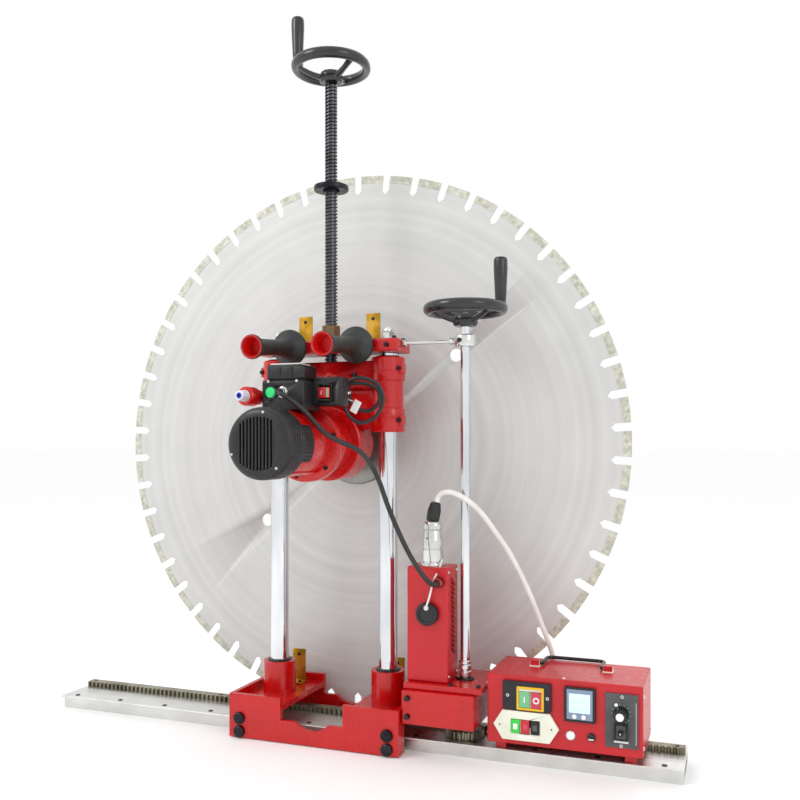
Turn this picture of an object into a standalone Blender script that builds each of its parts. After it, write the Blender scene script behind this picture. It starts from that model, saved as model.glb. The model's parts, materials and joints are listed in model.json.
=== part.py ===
"""Rail-mounted concrete wall saw: rail, traversing saddle, two columns, carriage, motor and blade.

World frame: X along the rail, Y away from the operator, Z up. The origin is the centre of the
rail's underside. All lengths are in metres.
"""
import math

import bmesh
import bpy
from mathutils import Matrix, Vector

# ---- driving dimensions ---------------------------------------------------------------------
GAP = 0.0003                      # between pieces that touch
RUN = 0.0006                      # between a shaft and its bore

RAIL_LENGTH = 1.140
RAIL_WIDTH = 0.120
RAIL_HEIGHT = 0.024
FLANGE_THICKNESS = 0.003
FLANGE_OVERHANG = 0.009
RAIL_WALL = 0.004

MODULE = 0.003                    # rack and pinion
RACK_FRONT_Y = 0.010
RACK_WIDTH = 0.022
RACK_HEIGHT = 0.009
PINION_TEETH = 20

MACHINE_X = -0.022                # middle plane of the machine
SADDLE_HALF = 0.156
SADDLE_FRONT_Y = -0.095
SADDLE_BACK_Y = 0.085
SADDLE_BOTTOM = 0.002
SADDLE_TOP = 0.076
SADDLE_WALL = 0.008
DECK_TOP = 0.063
DECK_THICKNESS = 0.010
NOTCH_HALF = 0.0575
NOTCH_BOTTOM = 0.039
DIP_RADIUS = 0.043
DIP_BOTTOM = 0.026
TUNNEL_SIDE_GAP = 0.008

COLUMN_RADIUS = 0.016
COLUMN_HALF_SPACING = 0.1045
COLUMN_Y = -0.008
COLUMN_TOP = 0.6617
BOSS_RADIUS = 0.029
BOSS_TOP = 0.119

HEAD_HALF = 0.134
HEAD_FRONT_Y = -0.040
HEAD_BACK_Y = 0.022
HEAD_THICKNESS = 0.022

SLEEVE_RADIUS = 0.029
SLEEVE_BOTTOM = 0.526
SLEEVE_TOP = 0.654
SLEEVE_BAND = 0.040
SLEEVE_WAIST = 0.0265
CROSSBAR_BOTTOM = 0.600
CROSSBAR_TOP = 0.648

SCREW_RADIUS = 0.011
SCREW_Y = -0.014
SCREW_BOTTOM = 0.616
COLLAR_Z = 0.953
COLLAR_RADIUS = 0.0305
COLLAR_THICKNESS = 0.009
NUT_RADIUS = 0.0165
NUT_HEIGHT = 0.028

WHEEL_RADIUS = 0.070
WHEEL_RIM = 0.020
FEED_WHEEL_Z = 1.155
GRIP_LENGTH = 0.075
GRIP_RADIUS = 0.0115
GRIP_CIRCLE = 0.058

SPINDLE_Z = 0.506
BLADE_RADIUS = 0.500
BLADE_THICKNESS = 0.0044
BLADE_Y = 0.106
BLADE_SEGMENTS = 54
SLOT_WIDTH = 0.014
SLOT_DEPTH = 0.034
SPINDLE_RADIUS = 0.0125
FLANGE_RADIUS = 0.075
FLANGE_DISC = 0.010

CAP_RADIUS = 0.055
CAP_FRONT_Y = -0.272
CAP_LENGTH = 0.050
MOTOR_RADIUS = 0.052
GEAR_FLANGE_Y = -0.120
GEAR_FLANGE_RADIUS = 0.063
GEAR_FLANGE_LENGTH = 0.026
GEAR_BODY_RADIUS = 0.050
GEAR_BODY_BACK_Y = 0.060
RING_RADIUS = 0.064
RING_FRONT_Y = -0.036
RING_BACK_Y = 0.020

DRIVE_X = (0.1345, 0.256)
DRIVE_Y = (-0.085, 0.058)
DRIVE_Z = (0.053, 0.108)
DRIVE_PLATE = 0.010
DRIVE_WALL = 0.006
ROD_X = 0.223
ROD_RADIUS = 0.008
TRAVERSE_WHEEL_Z = 0.718
CLAMP_Z = 0.676

TALL_X = (0.136, 0.206)
TALL_Y = (-0.060, -0.004)
TALL_TOP = 0.305
TALL_WALL = 0.0025

CASE_X = (0.272, 0.512)
CASE_Y = (-0.062, 0.066)
CASE_Z = (0.0345, 0.1425)
CASE_WALL = 0.0025

HANDLE_OFFSET = 0.0625
HANDLE_Z = 0.6735
HANDLE_LENGTH = 0.142
HANDLE_TILT = math.radians(5.0)

# saddle rollers: a pin through the wall, a wheel inside, a head outside
ROLLER_PIN = 0.005
UPPER_ROLLER_RADIUS = 0.0105
LOWER_ROLLER_RADIUS = 0.0085
ROLLER_HEAD = 0.0103
ROLLER_INSET = 0.020

# where each crank grip stands round its wheel at rest
FEED_GRIP_ANGLE = math.radians(205)
TRAVERSE_GRIP_ANGLE = math.radians(12)

# switch box on the motor, and what is set in its faces
SWITCH_X = (-0.064, 0.010)
SWITCH_Y = (-0.185, -0.124)
SWITCH_Z = (0.5585, 0.634)
SIDE_SWITCH_X = (0.008, 0.060)
SIDE_SWITCH_Y = (-0.152, -0.126)
SIDE_SWITCH_Z = (0.566, 0.612)
MOTOR_BUTTON = (-0.048, 0.587)
ROCKER = (0.030, 0.587)
GLAND = (-0.025, 0.587)
BUTTON_TRAVEL = 0.003

# what is set in the connector box's front
SOCKET = (0.173, 0.230)
FRONT_GLAND = (0.191, 0.281)

# control box front: places across (X) and up (Z)
POWER_X = (0.2985, 0.3745)
POWER_Z = (0.0905, 0.1350)
START_X = 0.3335
STOP_X = 0.3520
POWER_BUTTON_Z = 0.1080
POWER_BUTTON = (0.0165, 0.0250)
PLATE_X = (0.2835, 0.3870)
PLATE_Z = (0.0430, 0.0887)
PLATE_NOSE = 0.0145
JOG_X = (0.3193, 0.3346, 0.3499)
JOG_Z = 0.0652
JOG_BUTTON = (0.0135, 0.0205)
METER_X = (0.3947, 0.4424)
METER_Z = (0.0810, 0.1340)
KNOB_PLATE_X = (0.4566, 0.5050)
KNOB_PLATE_Z = (0.0490, 0.1300)
KNOB = (0.4802, 0.1001)
TOGGLE = (0.4802, 0.0735)
CORD_ELBOW_X = (0.342, 0.362)
CORD_ELBOW_Z = (0.092, 0.120)
CORD_ELBOW_DEPTH = 0.020
PANEL_THICKNESS = 0.006
BAIL_Y = 0.012
BAIL_X = (0.345, 0.440)
BAIL_DEPTH = 0.046
BAIL_RADIUS = 0.003
BAIL_LIFT = 0.005

# ---- values that follow ---------------------------------------------------------------------
TUNNEL_HALF = RAIL_WIDTH / 2 + TUNNEL_SIDE_GAP
HEAD_BOTTOM = COLUMN_TOP + GAP
HEAD_TOP = HEAD_BOTTOM + HEAD_THICKNESS
COLUMNS_X = (MACHINE_X - COLUMN_HALF_SPACING, MACHINE_X + COLUMN_HALF_SPACING)
PINION_RADIUS = PINION_TEETH * MODULE / 2
ROD_Y = RACK_FRONT_Y + MODULE * 0.8 - PINION_RADIUS
RACK_PITCH = math.pi * MODULE
DECK_BOTTOM = DECK_TOP - DECK_THICKNESS
DRIVE_TOP = DRIVE_Z[1] + DRIVE_PLATE
BLADE_FRONT_Y = BLADE_Y - BLADE_THICKNESS / 2
BLADE_BACK_Y = BLADE_Y + BLADE_THICKNESS / 2
FACE_Y = CASE_Y[0]
FOOT_HEIGHT = CASE_Z[0] - RAIL_HEIGHT

# ---- scene set-up ---------------------------------------------------------------------------
for old in list(bpy.data.objects):
    bpy.data.objects.remove(old, do_unlink=True)

parts = bpy.data.collections.new("wall_saw")
tools = bpy.data.collections.new("cutters")
bpy.context.scene.collection.children.link(parts)
bpy.context.scene.collection.children.link(tools)

FINISHES = {
    "red": ((0.62, 0.010, 0.012), 0.0, 0.35),
    "steel": ((0.62, 0.62, 0.60), 1.0, 0.35),
    "chrome": ((0.82, 0.82, 0.84), 1.0, 0.08),
    "black": ((0.020, 0.020, 0.022), 0.0, 0.45),
    "rubber": ((0.030, 0.035, 0.034), 0.0, 0.6),
    "zinc": ((0.62, 0.42, 0.08), 1.0, 0.35),
    "white": ((0.80, 0.80, 0.76), 0.0, 0.4),
    "green": ((0.02, 0.45, 0.12), 0.0, 0.35),
    "yellow": ((0.80, 0.52, 0.02), 0.0, 0.4),
    "grey": ((0.20, 0.20, 0.21), 0.0, 0.45),
}


def finish_object(obj, finish):
    """Give one object its own material."""
    colour, metallic, roughness = FINISHES[finish]
    material = bpy.data.materials.new(obj.name + "_finish")
    material.use_nodes = True
    shader = material.node_tree.nodes["Principled BSDF"]
    shader.inputs["Base Color"].default_value = (*colour, 1.0)
    shader.inputs["Metallic"].default_value = metallic
    shader.inputs["Roughness"].default_value = roughness
    obj.data.materials.append(material)


def place(obj, finish):
    """Link an object as a part, or as a cutter when it has no finish."""
    if finish is None:
        tools.objects.link(obj)
        obj.hide_render = True
        obj.display_type = "WIRE"
        return obj
    parts.objects.link(obj)
    finish_object(obj, finish)
    return obj


def turn_to(direction):
    """Rotation that takes +Z to a direction."""
    return Vector((0, 0, 1)).rotation_difference(Vector(direction)).to_matrix().to_4x4()


def block(name, low, high, finish=None, bevel=0.0, origin=None):
    """A box between two corners."""
    low = Vector(low)
    high = Vector(high)
    middle = (low + high) / 2
    home = Vector(origin) if origin is not None else middle
    bm = bmesh.new()
    bmesh.ops.create_cube(bm, size=1.0)
    bmesh.ops.scale(bm, vec=high - low, verts=bm.verts)
    bmesh.ops.translate(bm, vec=middle - home, verts=bm.verts)
    mesh = bpy.data.meshes.new(name)
    bm.to_mesh(mesh)
    bm.free()
    obj = bpy.data.objects.new(name, mesh)
    obj.location = home
    if bevel:
        edge = obj.modifiers.new("edges", "BEVEL")
        edge.width = bevel
        edge.segments = 1
    return place(obj, finish)


def bar(name, start, end, radius, finish=None, sides=24):
    """A round bar between two points."""
    start = Vector(start)
    end = Vector(end)
    bm = bmesh.new()
    bmesh.ops.create_cone(bm, cap_ends=True, segments=sides, radius1=radius, radius2=radius,
                          depth=(end - start).length)
    mesh = bpy.data.meshes.new(name)
    bm.to_mesh(mesh)
    bm.free()
    obj = bpy.data.objects.new(name, mesh)
    obj.matrix_world = Matrix.Translation((start + end) / 2) @ turn_to(end - start)
    return place(obj, finish)


def turned(name, profile, at, direction, finish=None, steps=32, ring=False):
    """A turned piece: (radius, height) points down its outer side, from its top to its foot."""
    mesh = bpy.data.meshes.new(name)
    points = [(radius, 0.0, height) for radius, height in profile]
    edges = [(i, i + 1) for i in range(len(points) - 1)]
    if ring:
        edges.append((len(points) - 1, 0))
    mesh.from_pydata(points, edges, [])
    obj = bpy.data.objects.new(name, mesh)
    screw = obj.modifiers.new("turn", "SCREW")
    screw.axis = "Z"
    screw.steps = steps
    screw.render_steps = steps
    screw.use_merge_vertices = True
    screw.merge_threshold = 0.00001
    screw.use_smooth_shade = True
    obj.matrix_world = Matrix.Translation(Vector(at)) @ turn_to(direction)
    return place(obj, finish)


def outline(name, rings, thickness, matrix, finish=None):
    """A flat plate from closed outlines; the first is the rim, the others are holes."""
    curve = bpy.data.curves.new(name, "CURVE")
    curve.dimensions = "2D"
    curve.fill_mode = "BOTH"
    curve.extrude = thickness / 2
    for ring in rings:
        spline = curve.splines.new("POLY")
        spline.points.add(len(ring) - 1)
        spline.use_cyclic_u = True
        for point, (x, y) in zip(spline.points, ring):
            point.co = (x, y, 0.0, 1.0)
    obj = bpy.data.objects.new(name, curve)
    obj.matrix_world = matrix
    return place(obj, finish)


def prism(name, ring, thickness, matrix, finish=None):
    """A straight-sided solid from one closed outline, centred on its own plane."""
    bm = bmesh.new()
    face = bm.faces.new([bm.verts.new((x, y, -thickness / 2)) for x, y in ring])
    made = bmesh.ops.extrude_face_region(bm, geom=[face])
    moved = [item for item in made["geom"] if isinstance(item, bmesh.types.BMVert)]
    bmesh.ops.translate(bm, vec=(0, 0, thickness), verts=moved)
    bmesh.ops.recalc_face_normals(bm, faces=bm.faces)
    mesh = bpy.data.meshes.new(name)
    bm.to_mesh(mesh)
    bm.free()
    obj = bpy.data.objects.new(name, mesh)
    obj.matrix_world = matrix
    return place(obj, finish)


def boolean(target, other, operation):
    step = target.modifiers.new(other.name, "BOOLEAN")
    step.operation = operation
    step.solver = "EXACT"
    step.object = other


def cut(target, *cutters):
    """Cut tools away from a part."""
    for cutter in cutters:
        boolean(target, cutter, "DIFFERENCE")


def add(target, *others):
    """Weld guide bodies onto a part."""
    for other in others:
        boolean(target, other, "UNION")


def smooth_path(points, count):
    """A Catmull-Rom curve through the points, read at even steps."""
    ends = [2 * points[0] - points[1]] + points + [2 * points[-1] - points[-2]]
    dense = []
    for i in range(1, len(ends) - 2):
        a, b, c, d = ends[i - 1:i + 3]
        for k in range(24):
            t = k / 24
            dense.append(0.5 * (2 * b + (c - a) * t + (2 * a - 5 * b + 4 * c - d) * t * t
                                + (3 * b - a - 3 * c + d) * t ** 3))
    dense.append(points[-1])
    reach = [0.0]
    for a, b in zip(dense, dense[1:]):
        reach.append(reach[-1] + (b - a).length)
    path = []
    for k in range(count):
        want = reach[-1] * k / (count - 1)
        i = max(j for j in range(len(reach) - 1) if reach[j] <= want + 1e-9)
        share = (want - reach[i]) / (reach[i + 1] - reach[i])
        path.append(dense[i].lerp(dense[i + 1], min(share, 1.0)))
    return path


def cord(name, points, radius, finish, count):
    """A plain round tube along a cord's route, given in millimetres."""
    curve = bpy.data.curves.new(name, "CURVE")
    curve.dimensions = "3D"
    curve.bevel_depth = radius
    curve.bevel_resolution = 2
    curve.use_fill_caps = True
    path = smooth_path([Vector(point) * 0.001 for point in points], count)
    spline = curve.splines.new("POLY")
    spline.points.add(len(path) - 1)
    for point, place_at in zip(spline.points, path):
        point.co = (*place_at, 1.0)
    return place(bpy.data.objects.new(name, curve), finish)


def round_outline(radius, steps, centre=(0.0, 0.0)):
    return [(centre[0] + radius * math.cos(2 * math.pi * k / steps),
             centre[1] + radius * math.sin(2 * math.pi * k / steps)) for k in range(steps)]


# ---- rail -----------------------------------------------------------------------------------
def make_rail():
    half = RAIL_LENGTH / 2
    body_half = RAIL_WIDTH / 2 - FLANGE_OVERHANG
    body_top = RAIL_HEIGHT - FLANGE_THICKNESS
    rail = block("rail", (-half, -RAIL_WIDTH / 2, body_top), (half, RAIL_WIDTH / 2, RAIL_HEIGHT),
                 "steel")
    body = block("rail_body", (-half, -body_half, 0), (half, body_half, body_top + 0.001))
    duct = block("rail_duct", (-half - 0.01, -body_half + RAIL_WALL, RAIL_WALL),
                 (half + 0.01, body_half - RAIL_WALL, body_top - RAIL_WALL / 2))
    add(rail, body)
    cut(rail, duct)


def make_rack():
    """Toothed bar with its teeth towards -Y, in mesh with the pinion at rest."""
    half = RAIL_LENGTH / 2 - 0.002
    depth = 1.9 * MODULE
    root = RACK_FRONT_Y + depth
    tip_half = 0.14 * RACK_PITCH
    root_half = 0.27 * RACK_PITCH
    ring = [(half, RACK_FRONT_Y + RACK_WIDTH), (-half, RACK_FRONT_Y + RACK_WIDTH), (-half, root)]
    count = int(half / RACK_PITCH) + 2
    for k in range(-2 * count, 2 * count):
        middle = ROD_X + (k + 0.5) * RACK_PITCH
        if middle - root_half < -half + 0.001 or middle + root_half > half - 0.001:
            continue
        ring += [(middle - root_half, root), (middle - tip_half, RACK_FRONT_Y),
                 (middle + tip_half, RACK_FRONT_Y), (middle + root_half, root)]
    ring.append((half, root))
    low = RAIL_HEIGHT + GAP
    outline("gear_rack", [ring], RACK_HEIGHT, Matrix.Translation((0, 0, low + RACK_HEIGHT / 2)),
            "steel")


# ---- saddle ---------------------------------------------------------------------------------
def saddle_x(side, inset=0.0):
    return MACHINE_X + side * (SADDLE_HALF - inset)


def make_saddle():
    saddle = block("saddle", (saddle_x(-1), SADDLE_FRONT_Y, SADDLE_BOTTOM),
                   (saddle_x(1), SADDLE_BACK_Y, SADDLE_TOP), "red")
    inner_front = SADDLE_FRONT_Y + SADDLE_WALL
    inner_back = SADDLE_BACK_Y - SADDLE_WALL
    cut(saddle, block("saddle_inside", (saddle_x(-1, SADDLE_WALL), inner_front, -0.01),
                      (saddle_x(1, SADDLE_WALL), inner_back, DECK_BOTTOM)))
    cut(saddle, block("saddle_tunnel", (saddle_x(-1) - 0.01, -TUNNEL_HALF, -0.01),
                      (saddle_x(1) + 0.01, TUNNEL_HALF, DECK_BOTTOM - 0.002)))
    cut(saddle, block("saddle_notch", (MACHINE_X - NOTCH_HALF, SADDLE_FRONT_Y - 0.01, NOTCH_BOTTOM),
                      (MACHINE_X + NOTCH_HALF, SADDLE_BACK_Y + 0.01, SADDLE_TOP + 0.01)))
    for side in (-1, 1):
        near = MACHINE_X + side * (NOTCH_HALF - 0.002)
        far = saddle_x(side, SADDLE_WALL)
        name = "saddle_tray_left" if side < 0 else "saddle_tray_right"
        cut(saddle, block(name, (min(near, far), inner_front, DECK_TOP),
                          (max(near, far), inner_back, SADDLE_TOP + 0.01)))
    dip_z = DIP_BOTTOM + DIP_RADIUS
    cut(saddle, bar("saddle_dip", (MACHINE_X, SADDLE_FRONT_Y - 0.01, dip_z),
                    (MACHINE_X, SADDLE_BACK_Y + 0.01, dip_z), DIP_RADIUS, sides=32))
    for x, name in zip(COLUMNS_X, ("left", "right")):
        add(saddle, bar("boss_" + name, (x, COLUMN_Y, DECK_TOP - 0.003), (x, COLUMN_Y, BOSS_TOP),
                        BOSS_RADIUS, sides=22))
        cut(saddle, bar("boss_bore_" + name, (x, COLUMN_Y, DECK_TOP), (x, COLUMN_Y, BOSS_TOP + 0.01),
                        COLUMN_RADIUS + GAP, sides=22))
    for name, x, z, _ in roller_places():
        cut(saddle, bar(name + "_hole", (x, SADDLE_FRONT_Y - 0.01, z),
                        (x, SADDLE_FRONT_Y + SADDLE_WALL + 0.01, z), ROLLER_PIN + RUN, sides=16))


def roller_places():
    """Axles above and below the rail's front flange, at both ends of the saddle."""
    flange_bottom = RAIL_HEIGHT - FLANGE_THICKNESS
    upper = RAIL_HEIGHT + GAP + UPPER_ROLLER_RADIUS
    lower = flange_bottom - GAP - LOWER_ROLLER_RADIUS
    found = []
    for side, end in ((-1, "left"), (1, "right")):
        x = saddle_x(side, ROLLER_INSET)
        found.append(("upper_roller_" + end, x, upper, UPPER_ROLLER_RADIUS))
        found.append(("lower_roller_" + end, x, lower, LOWER_ROLLER_RADIUS))
    return found


def make_rollers():
    """Each is one piece: a domed head outside, a pin through the wall, a wheel on the flange."""
    head = 0.006
    wheel_front = SADDLE_WALL + 0.0015
    overhang_front = -RAIL_WIDTH / 2 - SADDLE_FRONT_Y
    wheel_end = overhang_front + FLANGE_OVERHANG - 0.0015
    for name, x, z, wheel in roller_places():
        profile = [(0.0, -head - GAP), (ROLLER_HEAD * 0.8, -head - GAP), (ROLLER_HEAD, -head * 0.6),
                   (ROLLER_HEAD, -GAP), (ROLLER_PIN, -GAP), (ROLLER_PIN, wheel_front),
                   (wheel, wheel_front), (wheel, wheel_end), (0.0, wheel_end)]
        flipped = [(radius, -height) for radius, height in profile]
        turned(name, flipped, (x, SADDLE_FRONT_Y, z), (0, -1, 0), "black", steps=16)


# ---- columns and head -----------------------------------------------------------------------
def make_columns():
    for x, name in zip(COLUMNS_X, ("left_column", "right_column")):
        bar(name, (x, COLUMN_Y, DECK_TOP + GAP), (x, COLUMN_Y, COLUMN_TOP), COLUMN_RADIUS,
            "chrome", sides=24)


def make_head():
    head = block("head_plate", (MACHINE_X - HEAD_HALF, HEAD_FRONT_Y, HEAD_BOTTOM),
                 (MACHINE_X + HEAD_HALF, HEAD_BACK_Y, HEAD_TOP), "red", bevel=0.002)
    cut(head, bar("head_bore", (MACHINE_X, SCREW_Y, HEAD_BOTTOM - 0.01),
                  (MACHINE_X, SCREW_Y, HEAD_TOP + 0.01), SCREW_RADIUS + RUN, sides=22))
    low = HEAD_TOP + GAP
    inner = SCREW_RADIUS + RUN
    turned("feed_nut", [(inner, low + NUT_HEIGHT), (NUT_RADIUS, low + NUT_HEIGHT),
                        (NUT_RADIUS, low + 0.008), (NUT_RADIUS + 0.004, low + 0.008),
                        (NUT_RADIUS + 0.004, low), (inner, low)],
           (MACHINE_X, SCREW_Y, 0), (0, 0, 1), "steel", steps=20, ring=True)


def make_carry_handles():
    """Two flared rubber grips on the head plate, leaning down towards the operator."""
    direction = (0, -math.cos(HANDLE_TILT), -math.sin(HANDLE_TILT))
    profile = [(0.0, HANDLE_LENGTH - 0.030), (0.0135, HANDLE_LENGTH - 0.030),
               (0.0155, HANDLE_LENGTH), (0.0195, HANDLE_LENGTH), (0.0200, HANDLE_LENGTH - 0.006),
               (0.0140, HANDLE_LENGTH - 0.020), (0.0135, 0.045), (0.0160, 0.028),
               (0.0300, 0.014), (0.0315, 0.008), (0.0300, 0.003), (0.0, 0.003)]
    for side, name in ((-1, "left_carry_grip"), (1, "right_carry_grip")):
        x = MACHINE_X + side * HANDLE_OFFSET
        turned(name, profile, (x, HEAD_FRONT_Y - 0.002, HANDLE_Z), direction, "rubber", steps=20)


# ---- handwheels -----------------------------------------------------------------------------
def handwheel(name, x, y, z, bore):
    """A rimmed wheel with a conical web, its hub hanging below the rim."""
    rim_low = 0.0
    rim_high = WHEEL_RIM
    inner = WHEEL_RADIUS - 0.015
    hub = 0.021
    hub_low = -0.018
    profile = [(bore, rim_low - 0.004), (hub * 0.8, rim_low - 0.004), (hub, rim_low - 0.006),
               (inner, rim_low + 0.008), (inner, rim_high - 0.003), (inner + 0.004, rim_high),
               (WHEEL_RADIUS - 0.004, rim_high), (WHEEL_RADIUS, rim_high - 0.005),
               (WHEEL_RADIUS, rim_low + 0.005), (WHEEL_RADIUS - 0.003, rim_low + 0.001),
               (inner, rim_low + 0.001), (hub, hub_low + 0.006), (hub, hub_low), (bore, hub_low)]
    wheel = turned(name, profile, (x, y, z), (0, 0, 1), "black", steps=28, ring=True)
    half_window = math.radians(40)
    for k in range(3):
        middle = math.radians(30 + 120 * k)
        angles = [middle - half_window + 2 * half_window * step / 4 for step in range(5)]
        arcs = [(hub + 0.006, angle) for angle in angles]
        arcs += [(inner - 0.004, angle) for angle in reversed(angles)]
        ring = [(radius * math.cos(angle), radius * math.sin(angle)) for radius, angle in arcs]
        cut(wheel, prism("%s_window_%d" % (name, k), ring, 0.06, Matrix.Translation((x, y, z))))
    return wheel


def crank_grip(name, x, y, z):
    """A loose handle that turns on its own pin."""
    low = WHEEL_RIM + GAP
    profile = [(0.0, low + GRIP_LENGTH), (GRIP_RADIUS * 0.8, low + GRIP_LENGTH),
               (GRIP_RADIUS, low + GRIP_LENGTH - 0.004), (GRIP_RADIUS, low + GRIP_LENGTH * 0.6),
               (GRIP_RADIUS * 0.82, low + 0.004), (GRIP_RADIUS * 0.75, low), (0.0, low)]
    turned(name, profile, (x, y, z), (0, 0, 1), "black", steps=20)


def make_feed_screw():
    low = SCREW_BOTTOM
    high = FEED_WHEEL_Z + WHEEL_RIM - 0.016
    collar_low = COLLAR_Z - COLLAR_THICKNESS / 2
    collar_high = COLLAR_Z + COLLAR_THICKNESS / 2
    wheel_low = FEED_WHEEL_Z - 0.018 - GAP
    pin = SCREW_RADIUS - 0.003
    profile = [(0.0, high), (pin, high), (pin, wheel_low), (SCREW_RADIUS, wheel_low),
               (SCREW_RADIUS, collar_high), (COLLAR_RADIUS, collar_high),
               (COLLAR_RADIUS, collar_low), (SCREW_RADIUS, collar_low), (SCREW_RADIUS, low),
               (0.0, low)]
    turned("feed_screw", profile, (MACHINE_X, SCREW_Y, 0), (0, 0, 1), "steel", steps=20)
    handwheel("feed_handwheel", MACHINE_X, SCREW_Y, FEED_WHEEL_Z, pin + GAP)
    crank_grip("feed_crank_grip", MACHINE_X + GRIP_CIRCLE * math.cos(FEED_GRIP_ANGLE),
               SCREW_Y + GRIP_CIRCLE * math.sin(FEED_GRIP_ANGLE), FEED_WHEEL_Z)


# ---- carriage, motor and blade --------------------------------------------------------------
def make_carriage():
    crossbar_half = COLUMN_HALF_SPACING
    carriage = block("carriage", (MACHINE_X - crossbar_half, COLUMN_Y - 0.022, CROSSBAR_BOTTOM),
                     (MACHINE_X + crossbar_half, COLUMN_Y + 0.022, CROSSBAR_TOP), "red")
    add(carriage, block("carriage_web", (MACHINE_X - crossbar_half, COLUMN_Y - 0.010, SLEEVE_BOTTOM),
                        (MACHINE_X + crossbar_half, COLUMN_Y + 0.010, CROSSBAR_BOTTOM + 0.002)))
    add(carriage, bar("carriage_ring", (MACHINE_X, RING_FRONT_Y, SPINDLE_Z),
                      (MACHINE_X, RING_BACK_Y, SPINDLE_Z), RING_RADIUS, sides=28))
    bands = ((SLEEVE_RADIUS, SLEEVE_TOP), (SLEEVE_RADIUS, SLEEVE_TOP - SLEEVE_BAND),
             (SLEEVE_WAIST, SLEEVE_TOP - SLEEVE_BAND), (SLEEVE_WAIST, SLEEVE_BOTTOM + SLEEVE_BAND),
             (SLEEVE_RADIUS, SLEEVE_BOTTOM + SLEEVE_BAND), (SLEEVE_RADIUS, SLEEVE_BOTTOM))
    profile = [(0.0, SLEEVE_TOP), *bands, (0.0, SLEEVE_BOTTOM)]
    for x, name in zip(COLUMNS_X, ("left", "right")):
        add(carriage, turned("sleeve_" + name, profile, (x, COLUMN_Y, 0), (0, 0, 1), steps=20))
    for x, name in zip(COLUMNS_X, ("left", "right")):
        cut(carriage, bar("sleeve_bore_" + name, (x, COLUMN_Y, SLEEVE_BOTTOM - 0.01),
                          (x, COLUMN_Y, SLEEVE_TOP + 0.01), COLUMN_RADIUS + RUN, sides=32))
    cut(carriage, bar("ring_bore", (MACHINE_X, RING_FRONT_Y - 0.01, SPINDLE_Z),
                      (MACHINE_X, RING_BACK_Y + 0.01, SPINDLE_Z), GEAR_BODY_RADIUS + GAP, sides=36))
    cut(carriage, bar("screw_seat", (MACHINE_X, SCREW_Y, SCREW_BOTTOM - GAP),
                      (MACHINE_X, SCREW_Y, CROSSBAR_TOP + 0.01), SCREW_RADIUS + RUN, sides=22))


def make_motor():
    axis = (MACHINE_X, 0, SPINDLE_Z)
    towards = (0, -1, 0)
    cap_back = -CAP_FRONT_Y - CAP_LENGTH
    wall = 0.003
    inner = CAP_RADIUS - wall
    turned("fan_cap", [(0.0, -CAP_FRONT_Y), (CAP_RADIUS - 0.010, -CAP_FRONT_Y),
                       (CAP_RADIUS - 0.003, -CAP_FRONT_Y - 0.003),
                       (CAP_RADIUS, -CAP_FRONT_Y - 0.009), (CAP_RADIUS, cap_back),
                       (inner, cap_back), (inner, -CAP_FRONT_Y - wall - 0.006),
                       (0.0, -CAP_FRONT_Y - wall)],
           axis, towards, "black", steps=28)
    front = cap_back - GAP
    back = -GEAR_FLANGE_Y + GAP
    turned("motor_housing", [(0.0, front), (MOTOR_RADIUS, front), (MOTOR_RADIUS, back + 0.030),
                             (MOTOR_RADIUS - 0.004, back), (0.0, back)],
           axis, towards, "red", steps=28)
    flange_back = -GEAR_FLANGE_Y - GEAR_FLANGE_LENGTH
    bore_front = -0.030
    turned("gear_housing", [(0.0, -GEAR_FLANGE_Y), (GEAR_FLANGE_RADIUS, -GEAR_FLANGE_Y),
                            (GEAR_FLANGE_RADIUS, flange_back), (GEAR_BODY_RADIUS, flange_back),
                            (GEAR_BODY_RADIUS, -GEAR_BODY_BACK_Y), (0.030, -GEAR_BODY_BACK_Y),
                            (0.030, -GEAR_BODY_BACK_Y - 0.018),
                            (SPINDLE_RADIUS + RUN, -GEAR_BODY_BACK_Y - 0.018),
                            (SPINDLE_RADIUS + RUN, bore_front), (0.0, bore_front)],
           axis, towards, "red", steps=28)
    disc_front = -(BLADE_FRONT_Y - GAP - FLANGE_DISC)
    disc_back = -(BLADE_FRONT_Y - GAP)
    spindle_front = bore_front - GAP
    spindle_back = -(BLADE_BACK_Y + 0.020)
    turned("spindle", [(0.0, spindle_front), (SPINDLE_RADIUS, spindle_front),
                       (SPINDLE_RADIUS, disc_front), (FLANGE_RADIUS - 0.004, disc_front),
                       (FLANGE_RADIUS, disc_front - 0.004), (FLANGE_RADIUS, disc_back),
                       (SPINDLE_RADIUS, disc_back), (SPINDLE_RADIUS, spindle_back),
                       (0.0, spindle_back)],
           axis, towards, "steel", steps=28)
    outer_front = -(BLADE_BACK_Y + GAP)
    outer_back = -(BLADE_BACK_Y + GAP + 0.009)
    inner = SPINDLE_RADIUS + GAP
    turned("flange_nut", [(inner, outer_front), (FLANGE_RADIUS * 0.8, outer_front),
                          (FLANGE_RADIUS * 0.8, outer_back + 0.003),
                          (FLANGE_RADIUS * 0.7, outer_back), (0.022, outer_back),
                          (0.022, outer_back - 0.010), (inner, outer_back - 0.010)],
           axis, towards, "steel", steps=28, ring=True)


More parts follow.
